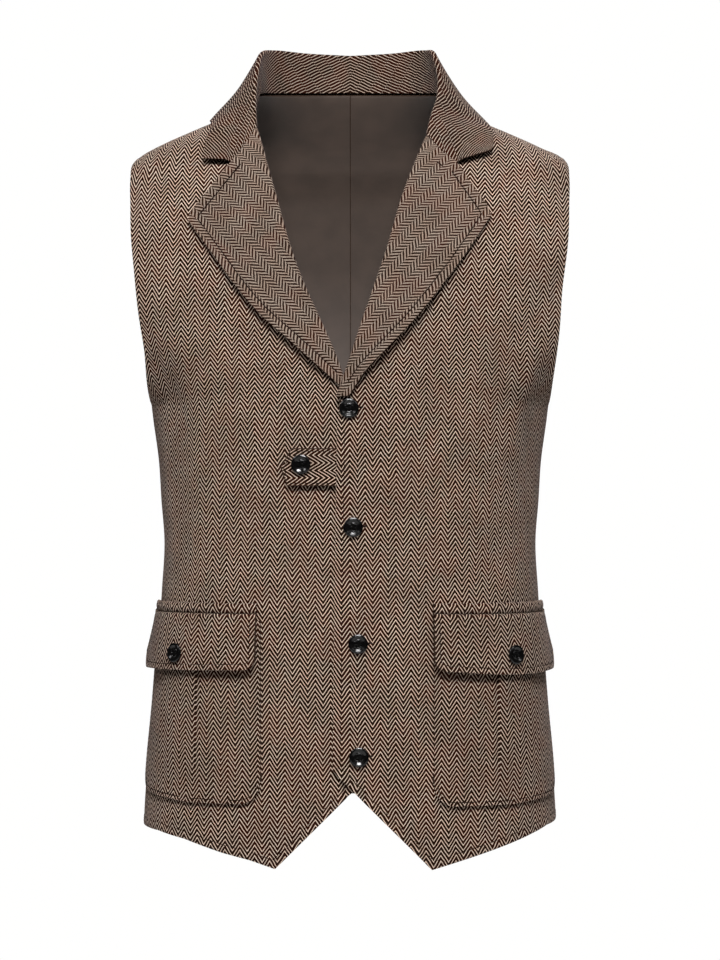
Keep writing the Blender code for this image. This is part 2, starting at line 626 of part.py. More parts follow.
def pocket_grid(side):
    """Inner face of a patch pocket, its box pleat raised, rows from the bottom up."""
    pocket = POCKETS[side]
    steps = [pocket.pleat_in, pocket.pleat_in + PLEAT_SLOPE,
             pocket.pleat_out - PLEAT_SLOPE, pocket.pleat_out]
    girth = corner_columns(pocket.inner, pocket.outer, pocket.inner_round, pocket.outer_round, steps,
                           POCKET_COLUMNS)
    share = (girth - pocket.inner) / (pocket.outer - pocket.inner)
    bottom = pocket.bottom + (pocket.outer_bottom - pocket.bottom) * np.maximum(share - 0.5, 0) * 2
    low = bottom + corner_rise(girth, pocket.inner, pocket.outer, pocket.inner_round, pocket.outer_round)
    up = np.linspace(0, 1, POCKET_ROWS)[:, None]
    height = low + (pocket.top - low) * up
    pleat = ramp(girth, pocket.pleat_in, pocket.pleat_in + PLEAT_SLOPE)
    pleat = pleat * (1 - ramp(girth, pocket.pleat_out - PLEAT_SLOPE, pocket.pleat_out))
    opening = ramp(up, 0.0, PLEAT_START) * (1 - PLEAT_PRESSED * ramp(up, PLEAT_PRESS_FROM, 1.0))
    rise = PLEAT_RISE * pleat * opening
    puff = POCKET_PUFF * np.sin(math.pi * share) ** 2 * np.sin(math.pi * up * PUFF_RUN)
    return form(side * np.broadcast_to(girth, height.shape), height, WALL + LAY_GAP + rise + puff)


def flap_grid(side):
    """Middle of a flap's wall: the ridge of its seam, then the leaf standing off the pocket."""
    flap = FLAPS[side]
    outer_round = flap.rounding * OUTER_ROUNDING
    girth = corner_columns(flap.inner, flap.outer, flap.rounding, outer_round, [], FLAP_COLUMNS)
    share = (girth - flap.inner) / (flap.outer - flap.inner)
    middle = through([0, 0.5, 1], [flap.bottom, flap.bottom_middle, flap.outer_bottom], share)
    low = middle + corner_rise(girth, flap.inner, flap.outer, flap.rounding, outer_round)
    down = np.array([row[0] for row in FLAP_SECTION])[:, None]
    lift = np.array([row[1] for row in FLAP_SECTION])[:, None]
    height = flap.top + (low - flap.top) * down
    flare = flap.outer_flare * ramp(share, FLARE_START, 1.0) * down ** 2
    return form(side * np.broadcast_to(girth, height.shape), height, lift + flare)[::-1]


def tab_grid(side):
    """Inner face of the five-sided chest tab, rows from the bottom up, columns to the point."""
    heights = [p.height for p in TAB_OUTLINE]
    rows = np.concatenate([np.linspace(heights[0], heights[1], TAB_HALF_ROWS + 1),
                           np.linspace(heights[1], heights[2], TAB_HALF_ROWS + 1)[1:]])
    reach = np.interp(rows, heights, [p.width for p in TAB_OUTLINE])[:, None]
    share = np.linspace(0, 1, TAB_COLUMNS + 1)[None]
    girth = TAB_TUCKED_EDGE + (reach - TAB_TUCKED_EDGE) * share
    return form(side * girth, np.broadcast_to(rows[:, None], girth.shape), WALL + SEAM_GAP)


# ---------------------------------------------------------------- buttons
BUTTON_RADIUS = 7.8
BUTTON_SIDES = 18
BUTTON_GAP = 0.5          # between a button and the cloth, taken up by its thread
FLAP_LIFT = 10.2          # of a flap's outer face where its button sits
MERGE_WITHIN = 0.01
# Profile from the middle of the top, over the raised rim and down the outer side.
BUTTON_PROFILE = [(0.0, 2.2), (4.6, 2.2), (5.6, 3.3), (6.9, 3.4), (7.8, 2.3), (7.3, 0.7), (5.6, 0.0),
                  (0.0, 0.0)]
Button = namedtuple("Button", "name girth height lift")
FRONT_BUTTONS = [
    Button("button_front_1", -0.4, -244.0, WALL),
    Button("button_front_2", 3.0, -346.6, WALL),
    Button("button_front_3", 7.3, -447.6, WALL),
    Button("button_front_4", 8.1, -545.2, WALL),
]
OTHER_BUTTONS = [
    Button("button_tab", -41.5, -292.2, WALL + SEAM_GAP + WALL),
    Button("button_flap_right", -154.2, -457.8, FLAP_LIFT),
    Button("button_flap_left", 144.4, -459.1, FLAP_LIFT),
]


# ---------------------------------------------------------------- making the objects
Finish = namedtuple("Finish", "name colour roughness")
CLOTH = Finish("herringbone_cloth", (0.178, 0.117, 0.089, 1.0), 0.92)
CLOTH_LAPEL = Finish("herringbone_lapel", (0.190, 0.133, 0.100, 1.0), 0.92)
CLOTH_COLLAR = Finish("herringbone_collar", (0.162, 0.109, 0.084, 1.0), 0.92)
CLOTH_TRIM = Finish("herringbone_trim", (0.170, 0.112, 0.086, 1.0), 0.92)
BUTTON_BLACK = Finish("black_button", (0.008, 0.008, 0.010, 1.0), 0.22)


def start_scene(name):
    """Empty the scene and return a new collection for the waistcoat."""
    for item in list(bpy.data.objects):
        bpy.data.objects.remove(item, do_unlink=True)
    collection = bpy.data.collections.new(name)
    bpy.context.scene.collection.children.link(collection)
    return collection


def finish_material(finish, piece_name):
    """A Principled material of its own for one piece."""
    material = bpy.data.materials.new(f"{finish.name}_{piece_name}")
    material.use_nodes = True
    shader = material.node_tree.nodes["Principled BSDF"]
    shader.inputs["Base Color"].default_value = finish.colour
    shader.inputs["Roughness"].default_value = finish.roughness
    shader.inputs["Metallic"].default_value = 0.0
    return material


def add_object(collection, name, mesh, finish):
    """Link a mesh as a named object with its own material."""
    item = bpy.data.objects.new(name, mesh)
    mesh.materials.append(finish_material(finish, name))
    collection.objects.link(item)
    return item


def cloth_piece(collection, name, grid, turned, finish, offset):
    """A cloth wall: the grid as an open sheet, given its thickness by Solidify."""
    rows, columns = grid.shape[:2]
    index = np.arange(rows * columns).reshape(rows, columns)
    corners = [index[:-1, :-1], index[:-1, 1:], index[1:, 1:], index[1:, :-1]]
    if turned:
        corners.reverse()
    faces = np.stack(corners, axis=-1).reshape(-1, 4)
    mesh = bpy.data.meshes.new(name)
    mesh.from_pydata((grid.reshape(-1, 3) * MM).tolist(), [], faces.tolist())
    mesh.shade_smooth()
    item = add_object(collection, name, mesh, finish)
    wall = item.modifiers.new("wall", "SOLIDIFY")
    wall.thickness = WALL * MM
    wall.offset = offset
    wall.use_even_offset = offset != 0
    return item


def add_button(collection, button, face, lift, finish):
    """A turned button with a dished top and raised rim, seated on the cloth below it."""
    profile = bpy.data.meshes.new(button.name)
    places = [(radius * MM, 0.0, rise * MM) for radius, rise in BUTTON_PROFILE]
    profile.from_pydata(places, [(k, k + 1) for k in range(len(places) - 1)], [])
    item = add_object(collection, button.name, profile, finish)
    turning = item.modifiers.new("turning", "SCREW")
    turning.axis = "Z"
    turning.angle = 2 * math.pi
    turning.steps = turning.render_steps = BUTTON_SIDES
    turning.use_merge_vertices = True
    turning.merge_threshold = MERGE_WITHIN * MM
    turning.use_smooth_shade = True
    girth, height = np.array([button.girth]), np.array([button.height])
    seat = form(girth, height, lift, face)[0]
    reaches = ((BUTTON_RADIUS, 0), (-BUTTON_RADIUS, 0), (0, BUTTON_RADIUS), (0, -BUTTON_RADIUS))
    around = [form(girth + along, height + up, lift, face)[0] for along, up in reaches]
    normal = Vector(np.cross(around[0] - around[1], around[2] - around[3])).normalized()
    item.location = Vector(seat * MM)
    item.rotation_euler = normal.to_track_quat("Z", "Y").to_euler()
    return item


def side_name(side):
    """The wearer's side, as it stands in the names."""
    return "left" if side == LEFT else "right"


def build():
    """Build every piece of the waistcoat."""
    collection = start_scene("herringbone_waistcoat")
    for side in (RIGHT, LEFT):
        name = side_name(side)
        front_turned, back_turned = side == RIGHT, side == LEFT
        cloth_piece(collection, f"front_{name}", front_grid(side), front_turned, CLOTH, 1)
        cloth_piece(collection, f"back_{name}", back_grid(side), back_turned, CLOTH, 1)
        cloth_piece(collection, f"lapel_{name}", lapel_grid(side), front_turned, CLOTH_LAPEL, 0)
        cloth_piece(collection, f"pocket_{name}", pocket_grid(side), front_turned, CLOTH_TRIM, 1)
        cloth_piece(collection, f"flap_{name}", flap_grid(side), front_turned, CLOTH_TRIM, 0)
    cloth_piece(collection, "chest_tab", tab_grid(RIGHT), True, CLOTH_TRIM, 1)
    cloth_piece(collection, "collar", collar_grid(), False, CLOTH_COLLAR, 0)
    for button in FRONT_BUTTONS:
        rise = panel_lift(LEFT, button.girth, button.height)
        add_button(collection, button, FRONT, button.lift + rise + BUTTON_GAP, BUTTON_BLACK)
    for button in OTHER_BUTTONS:
        add_button(collection, button, FRONT, button.lift + BUTTON_GAP, BUTTON_BLACK)


build()
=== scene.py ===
"""Looks of a herringbone waistcoat: thin cloth shells on the worn form, stitching and buttons.

Sizes inside the classes are millimetres on the worn form and turn into metres when a mesh is made.
A place on the form is a girth (distance round it from the centre line), a height and a lift.
"""

import logging
import math
from dataclasses import dataclass, field
from enum import Enum
from typing import Sequence

import bpy
import numpy as np
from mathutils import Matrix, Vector
from numpy.typing import NDArray


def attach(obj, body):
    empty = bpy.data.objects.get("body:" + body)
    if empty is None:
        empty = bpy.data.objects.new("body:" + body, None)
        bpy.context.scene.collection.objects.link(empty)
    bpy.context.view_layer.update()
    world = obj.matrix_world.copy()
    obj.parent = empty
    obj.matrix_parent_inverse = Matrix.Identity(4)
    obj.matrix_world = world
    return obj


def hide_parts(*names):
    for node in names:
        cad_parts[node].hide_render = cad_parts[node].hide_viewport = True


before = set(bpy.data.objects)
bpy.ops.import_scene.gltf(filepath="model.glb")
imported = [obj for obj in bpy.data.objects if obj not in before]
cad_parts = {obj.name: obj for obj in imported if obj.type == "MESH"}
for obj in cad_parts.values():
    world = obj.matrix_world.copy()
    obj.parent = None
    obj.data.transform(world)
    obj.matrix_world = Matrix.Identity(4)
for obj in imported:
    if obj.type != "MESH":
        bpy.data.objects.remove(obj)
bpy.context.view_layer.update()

Array = NDArray[np.float64]
MM = 0.001
GRAIN = "cloth_grain"
UPWARDS = np.array([0.0, 0.0, 1.0])
LAST_CELL = 1.001          # keeps a reading inside a chart's last cell
CORNERS = 6                # round a stitch
STAND_ROWS = 8             # columns of the collar's stand, below its fold
ROLL_START = -262.0        # height below which a front's edge is stitched
BORDER_PAST = 9.0          # of a border past an edge that has no stitches
CORNER_COLUMNS = 14        # round a pocket's rounded corner
UNDER_RINGS = 14           # of a button's underside, both ends counted

logging.basicConfig(level=logging.INFO, format="%(message)s")
log = logging.getLogger("waistcoat")


class Face(Enum):
    """The half of the form that a place lies on; its value is the way out along Y."""

    FRONT = -1
    BACK = 1


class Side(Enum):
    """The wearer's side; its value is the sign of X there."""

    RIGHT = -1
    LEFT = 1

    @property
    def label(self) -> str:
        """The side as the names of pieces say it."""
        return self.name.lower()


@dataclass(frozen=True)
class Point:
    """A place on an outline: outward distance (or girth) and height."""

    width: float
    height: float


@dataclass(frozen=True)
class Level:
    """One ring of the form: half width in the front view, depths and squareness."""

    height: float
    half_width: float
    depth_front: float
    depth_back: float
    roundness: float


@dataclass(frozen=True)
class Crease:
    """A soft trough (negative depth) or ridge in the cloth, long along its lean."""

    face: Face
    girth: float
    height: float
    lean: float
    half_length: float
    half_width: float
    depth: float


def points(*rows: tuple[float, float]) -> tuple[Point, ...]:
    """Outline points from rows of a width and a height."""
    return tuple(Point(*row) for row in rows)


def by_side(right: object, left: object) -> dict[Side, object]:
    """A field of a class with one value for each of the wearer's sides."""
    return field(default_factory=lambda: {Side.RIGHT: right, Side.LEFT: left})


# ---------------------------------------------------------------- small numeric helpers

def smooth_reading(knots: Sequence[float], values: Sequence[float], at: Array) -> Array:
    """Smooth curve through a table: cubic pieces whose end slopes are the mean of both neighbours'.

    Args:
        knots: rising places of the table.
        values: values there.
        at: places to read.

    Returns:
        The values at the places, held level past both ends.
    """
    k, v = np.asarray(knots, float), np.asarray(values, float)
    slopes = np.gradient(v, k)
    at = np.clip(np.asarray(at, float), k[0], k[-1])
    cell = np.clip(np.searchsorted(k, at, side="right") - 1, 0, len(k) - 2)
    step = k[cell + 1] - k[cell]
    t = (at - k[cell]) / step
    rise = (v[cell + 1] - v[cell]) / step
    start, end = slopes[cell], slopes[cell + 1]
    bend = (start + end - 2 * rise) * t + (3 * rise - 2 * start - end)
    return v[cell] + step * t * (start + t * bend)


def ramp(value: Array, start: float, end: float) -> Array:
    """Smooth step from 0 at start to 1 at end: t squared times three less two t."""
    t = np.clip((np.asarray(value, float) - start) / (end - start), 0, 1)
    return t * t * (3 - 2 * t)


def bell(value: Array, centre: float, half_width: float) -> Array:
    """Bell curve of height one: e to the minus square of the distance in half widths."""
    return np.exp(-((np.asarray(value, float) - centre) / half_width) ** 2)


def unit(vectors: Array) -> Array:
    """Vectors of length one."""
    return vectors / np.linalg.norm(vectors, axis=-1, keepdims=True)


def run_lengths(places: Array) -> Array:
    """Length along a polyline up to each of its points."""
    steps = np.linalg.norm(np.diff(places, axis=0), axis=1)
    return np.concatenate([[0.0], np.cumsum(steps)])


def along_polyline(places: Array, at: Array) -> Array:
    """Straight-line reading of a polyline at the given lengths along it."""
    runs = run_lengths(places)
    return np.stack([np.interp(at, runs, places[:, k]) for k in range(places.shape[1])], axis=-1)


def outline_array(points: Sequence[Point]) -> Array:
    """Widths and heights of outline points as rows of an array."""
    return np.array([(p.width, p.height) for p in points], float)


def along_outline(points: Sequence[Point], count: int) -> Array:
    """Evenly spaced places on the smooth curve through outline points.

    Args:
        points: outline points in order.
        count: number of places.

    Returns:
        Rows of a width and a height.
    """
    places = outline_array(points)
    runs = run_lengths(places)
    at = np.linspace(0, runs[-1], count)
    return np.stack([smooth_reading(runs, places[:, k], at) for k in range(2)], axis=-1)


def straight(start: Array, end: Array, count: int) -> Array:
    """Evenly spaced places on the line between two places."""
    share = np.linspace(0, 1, count)[:, None]
    return np.asarray(start, float)[None] * (1 - share) + np.asarray(end, float)[None] * share


def distance_to_path(places: Array, path: Array) -> Array:
    """Shortest distance of each flat place from a polyline: the least over its segments.

    Args:
        places: flat places.
        path: the polyline's corners.

    Returns:
        A distance for each place.
    """
    start, end = path[:-1], path[1:]
    way = end - start
    size = np.maximum(np.sum(way * way, axis=-1), 1e-9)
    gap = places[..., None, :] - start
    t = np.clip(np.sum(gap * way, axis=-1) / size, 0, 1)
    return np.min(np.linalg.norm(gap - t[..., None] * way, axis=-1), axis=-1)


# ---------------------------------------------------------------- the worn form

@dataclass
class WornForm:
    """The body-shaped stack of rings that all the cloth lies on."""

    levels: tuple[Level, ...] = tuple(Level(*row) for row in (
        (-660, 184.0, 103, 112, 2.50), (-612, 183.0, 104, 113, 2.50),
        (-558, 179.5, 105, 111, 2.48), (-504, 174.0, 106, 106, 2.42),
        (-450, 169.8, 106, 101, 2.36), (-405, 167.0, 106, 97, 2.32),
        (-360, 164.7, 106, 95, 2.30), (-324, 167.4, 107, 98, 2.30),
        (-288, 169.7, 109, 105, 2.30), (-252, 174.6, 110, 112, 2.30),
        (-216, 178.7, 110, 117, 2.30), (-162, 184.5, 106, 119, 2.30),
        (-126, 188.0, 101, 117, 2.30), (-90, 191.7, 93, 112, 2.30),
        (-63, 193.0, 84, 107, 2.30), (-42, 193.8, 76, 102, 2.30),
        (-29, 192.5, 70, 97, 2.30), (-22, 187.5, 67, 94, 2.30),
        (-12, 170.0, 62, 91, 2.30), (0, 143.5, 55, 87, 2.30),
        (14, 111.5, 45, 81, 2.25), (28, 90.5, 31, 75, 2.20),
        (42, 80.0, 18, 69, 2.15), (60, 76.0, 14, 64, 2.10),
    ))
    creases: tuple[Crease, ...] = tuple(Crease(*row) for row in (
        (Face.FRONT, 172, -158, 35, 62, 15, -3.0), (Face.FRONT, 158, -226, 14, 52, 11, 2.6),
        (Face.FRONT, 176, -290, 8, 70, 15, -2.6), (Face.FRONT, 140, -330, 6, 62, 16, -1.8),
        (Face.FRONT, -178, -205, -28, 58, 15, -3.0), (Face.FRONT, -160, -300, -5, 92, 17, -2.2),
        (Face.FRONT, -128, -345, -4, 80, 15, 1.4), (Face.FRONT, 96, -396, 60, 48, 14, -1.4),
        (Face.BACK, 0, -352, 90, 120, 24, -2.6), (Face.BACK, 118, -206, 32, 78, 17, -3.0),
        (Face.BACK, -118, -206, -32, 78, 17, -3.0), (Face.BACK, 66, -440, 14, 92, 20, 2.2),
        (Face.BACK, -74, -452, -10, 84, 20, 2.2), (Face.BACK, 150, -330, 20, 60, 16, -2.2),
        (Face.BACK, -150, -322, -24, 66, 16, -2.2),
    ))
    shoulder_rise: dict[Side, float] = by_side(4.1, 2.6)
    corner_rise: dict[Side, float] = by_side(0.0, 2.4)
    shoulder_run: tuple[float, float] = (98, 122)
    corner_run: tuple[float, float] = (170, 190)
    ridge_fade: tuple[float, float] = (4, 20)
    shoulder_ridge: tuple[Point, Point] = points((112.0, 6.0), (190.0, -34.0))
    scye_middle: float = -130.0
    scye_half_height: float = 108.0
    scye_share_most: float = 0.69
    scye_roundness: float = 2.2
    chart_heights: Array = field(default_factory=lambda: np.arange(-660.0, 60.1, 3.0))
    chart_angles: Array = field(default_factory=lambda: np.linspace(0, math.pi / 2, 161))
    drop_angle: float = 0.55
    normal_step: float = 2.0
    field_step: float = 0.5
    rest_passes: int = 4

    def __post_init__(self) -> None:
        """Chart girths by angle, and angles by girth, for both faces."""
        self.arcs: dict[Face, Array] = {}
        self.angles: dict[Face, Array] = {}
        self.drop: dict[Face, Array] = {}
        heights, angles = np.meshgrid(self.chart_heights, self.chart_angles, indexing="ij")
        shares = np.linspace(0, 1, len(self.chart_angles))
        for face in Face:
            places = self.ring_place(angles, heights, face)
            steps = np.linalg.norm(np.diff(places, axis=1), axis=-1)
            arcs = np.concatenate([np.zeros((len(heights), 1)), np.cumsum(steps, axis=1)], axis=1)
            self.arcs[face] = arcs
            self.angles[face] = np.array(
                [np.interp(shares * row[-1], row, self.chart_angles) for row in arcs])
            middle = np.full(self.chart_heights.shape, self.drop_angle)
            self.drop[face] = run_lengths(self.ring_place(middle, self.chart_heights, face))

    def column(self, name: str, height: Array) -> Array:
        """One column of the levels, read smoothly at any height."""
        values = [getattr(level, name) for level in self.levels]
        return smooth_reading([level.height for level in self.levels], values, height)

    def scye_share(self, height: Array) -> Array:
        """Armhole edge off the side line, as a share of the depth: a super-ellipse over its height."""
        along = np.clip(np.abs((height - self.scye_middle) / self.scye_half_height), 0, 1)
        return self.scye_share_most * (1 - along ** self.scye_roundness) ** (1 / self.scye_roundness)

    def side_reach(self, height: Array) -> Array:
        """Half width of the whole ring, widened where the armhole cuts it short."""
        roundness = self.column("roundness", height)
        return self.column("half_width", height) / (1 - self.scye_share(height) ** roundness) ** (1 / roundness)

    def ring_place(self, angle: Array, height: Array, face: Face) -> Array:
        """Point of the bare ring at an angle from the centre line: a super-ellipse by sine and cosine.

        Args:
            angle: angles from the centre line.
            height: heights on the form.
            face: half of the form.

        Returns:
            Places.
        """
        power = 2 / self.column("roundness", height)
        depth = self.column("depth_front" if face is Face.FRONT else "depth_back", height)
        across = np.sign(angle) * self.side_reach(height) * np.abs(np.sin(angle)) ** power
        out = face.value * depth * np.sign(np.cos(angle)) * np.abs(np.cos(angle)) ** power
        return np.stack([across, out, np.broadcast_to(height, across.shape)], axis=-1)

    def read_chart(self, chart: Array, height: Array, column: Array) -> Array:
        """Bilinear reading of a chart; column runs from 0 to 1 over the quarter ring.

        Args:
            chart: table with a row for each height.
            height: heights on the form.
            column: place along a row, from 0 to 1.

        Returns:
            The values read.
        """
        spacing = self.chart_heights[1] - self.chart_heights[0]
        row = np.clip((height - self.chart_heights[0]) / spacing, 0, len(chart) - LAST_CELL)
        col = np.clip(column, 0, 1) * (chart.shape[1] - LAST_CELL)
        i, j = row.astype(int), col.astype(int)
        u, v = row - i, col - j
        low = chart[i, j] * (1 - v) + chart[i, j + 1] * v
        high = chart[i + 1, j] * (1 - v) + chart[i + 1, j + 1] * v
        return low * (1 - u) + high * u

    def quarter_girth(self, height: Array, face: Face) -> Array:
        """Girth from the centre line to the side or shoulder line."""
        return np.interp(np.asarray(height, float), self.chart_heights, self.arcs[face][:, -1])

    def girth_at_angle(self, angle: Array, height: Array, face: Face) -> Array:
        """Girth of the point at a ring angle."""
        return np.sign(angle) * self.read_chart(self.arcs[face], height, np.abs(angle) / (math.pi / 2))

    def girth_at_width(self, across: Array, height: Array, face: Face = Face.FRONT) -> Array:
        """Girth of the point that lies a given distance from the middle plane.

        Args:
            across: distances from the middle plane.
            height: heights on the form.
            face: half of the form.

        Returns:
            Girths.
        """
        height = np.broadcast_to(np.asarray(height, float), np.shape(across))
        share = np.clip(np.abs(across) / self.side_reach(height), 0, 1)
        angle = np.arcsin(share ** (self.column("roundness", height) / 2))
        return self.girth_at_angle(np.sign(across) * angle, height, face)

    def girth_at_scye(self, height: Array, face: Face) -> Array:
        """Girth of the armhole edge, or of the side and shoulder line where there is none."""
        angle = np.arccos(self.scye_share(height) ** (self.column("roundness", height) / 2))
        return self.girth_at_angle(angle, height, face)

    def drape(self, girth: Array, height: Array, face: Face) -> Array:
        """Height of the soft creases: a sum of bells, each long along its lean.

        Args:
            girth: girths on the form.
            height: heights on the form.
            face: half of the form.

        Returns:
            Lifts that the creases add.
        """
        total = np.zeros(np.shape(girth))
        for crease in self.creases:
            if crease.face is face:
                lean = math.radians(crease.lean)
                aside, rise = girth - crease.girth, height - crease.height
                along = (rise * math.cos(lean) + aside * math.sin(lean)) / crease.half_length
                over = (aside * math.cos(lean) - rise * math.sin(lean)) / crease.half_width
                total = total + crease.depth * np.exp(-along ** 2 - over ** 2)
        return total

    def bare(self, girth: Array, height: Array, face: Face) -> Array:
        """Point of the ring form at a girth and height, before the creases."""
        angle = self.read_chart(self.angles[face], height, np.abs(girth) / self.quarter_girth(height, face))
        return self.ring_place(np.sign(girth) * angle, height, face)

    def outward(self, girth: Array, height: Array, face: Face) -> Array:
        """Unit normal of the form, from the points two millimetres either side.

        Args:
            girth: girths on the form.
            height: heights on the form.
            face: half of the form.

        Returns:
            Unit normals.
        """
        step = self.normal_step
        limit = self.quarter_girth(height, face) - step
        middle = np.clip(girth, -limit, limit)
        along = self.bare(middle + step, height, face) - self.bare(middle - step, height, face)
        up = self.bare(girth, height + step, face) - self.bare(girth, height - step, face)
        return unit(np.cross(along, up) if face is Face.FRONT else np.cross(up, along))

    def place(self, girth: Array, height: Array, lift: Array, face: Face = Face.FRONT) -> Array:
        """Point of the worn cloth: the form, plus its creases and a lift along the normal.

        Args:
            girth: girths on the form.
            height: heights on the form.
            lift: lifts off the form.
            face: half of the form.

        Returns:
            Places.
        """
        girth, height, lift = np.broadcast_arrays(*(np.asarray(v, float) for v in (girth, height, lift)))
        raised = (lift + self.drape(girth, height, face))[..., None]
        return self.bare(girth, height, face) + raised * self.outward(girth, height, face)

    def with_shoulders(self, places: Array) -> Array:
        """Places raised over the padded shoulders: a smooth step up to the ridge, times one outwards.

        Args:
            places: rows of places.

        Returns:
            The raised places.
        """
        across, height = places[..., 0], places[..., 2]
        neck_end, arm_end = self.shoulder_ridge
        ridge = np.interp(np.abs(across), [neck_end.width, arm_end.width], [neck_end.height, arm_end.height])
        below = ridge - height
        rise = np.zeros(across.shape)
        for side in Side:
            out = side.value * across
            amount = self.shoulder_rise[side] * ramp(out, *self.shoulder_run)
            amount = amount + self.corner_rise[side] * ramp(out, *self.corner_run)
            rise = rise + amount * (1 - ramp(below, *self.ridge_fade))
        return places + rise[..., None] * UPWARDS

    def grain(self, girth: Array, height: Array, face: Face = Face.FRONT) -> Array:
        """Cloth coordinates in metres: the girth, and the length down the middle of the panel."""
        drop = np.interp(height, self.chart_heights, self.drop[face])
        return np.stack(np.broadcast_arrays(girth, drop), axis=-1) * MM

    def above(self, points: Array) -> tuple[Array, Array]:
        """Distance of each point from the ring form, and the way straight out of it.

        The field is the size of the ring through a point, less one; the distance is the
        field over its slope.

        Args:
            points: the points.

        Returns:
            Distances, and unit ways out.
        """
        def ring_size(place: Array) -> Array:
            """Zero on the form, growing outwards.

            Args:
                place: places round the form.

            Returns:
                Sizes less one.
            """
            across, out, height = place[..., 0], place[..., 1], place[..., 2]
            roundness = self.column("roundness", height)
            deep = np.where(out < 0, self.column("depth_front", height), self.column("depth_back", height))
            total = (np.abs(across) / self.side_reach(height)) ** roundness
            total = total + (np.abs(out) / deep) ** roundness
            return total ** (1 / roundness) - 1
        step = self.field_step
        slope = np.stack([(ring_size(points + step * axis) - ring_size(points - step * axis)) / (2 * step)
                          for axis in np.eye(3)], axis=-1)
        steep = np.linalg.norm(slope, axis=-1, keepdims=True)
        return ring_size(points) / steep[..., 0], slope / steep

    def rest_on(self, points: Array, clearance: float) -> Array:
        """Move the points that come too near the form straight out, until they just clear it.

        Args:
            points: the points.
            clearance: least distance from the form.

        Returns:
            The moved points.
        """
        for _ in range(self.rest_passes):
            distance, way = self.above(points)
            points = points + np.maximum(clearance - distance, 0)[..., None] * way
        return points


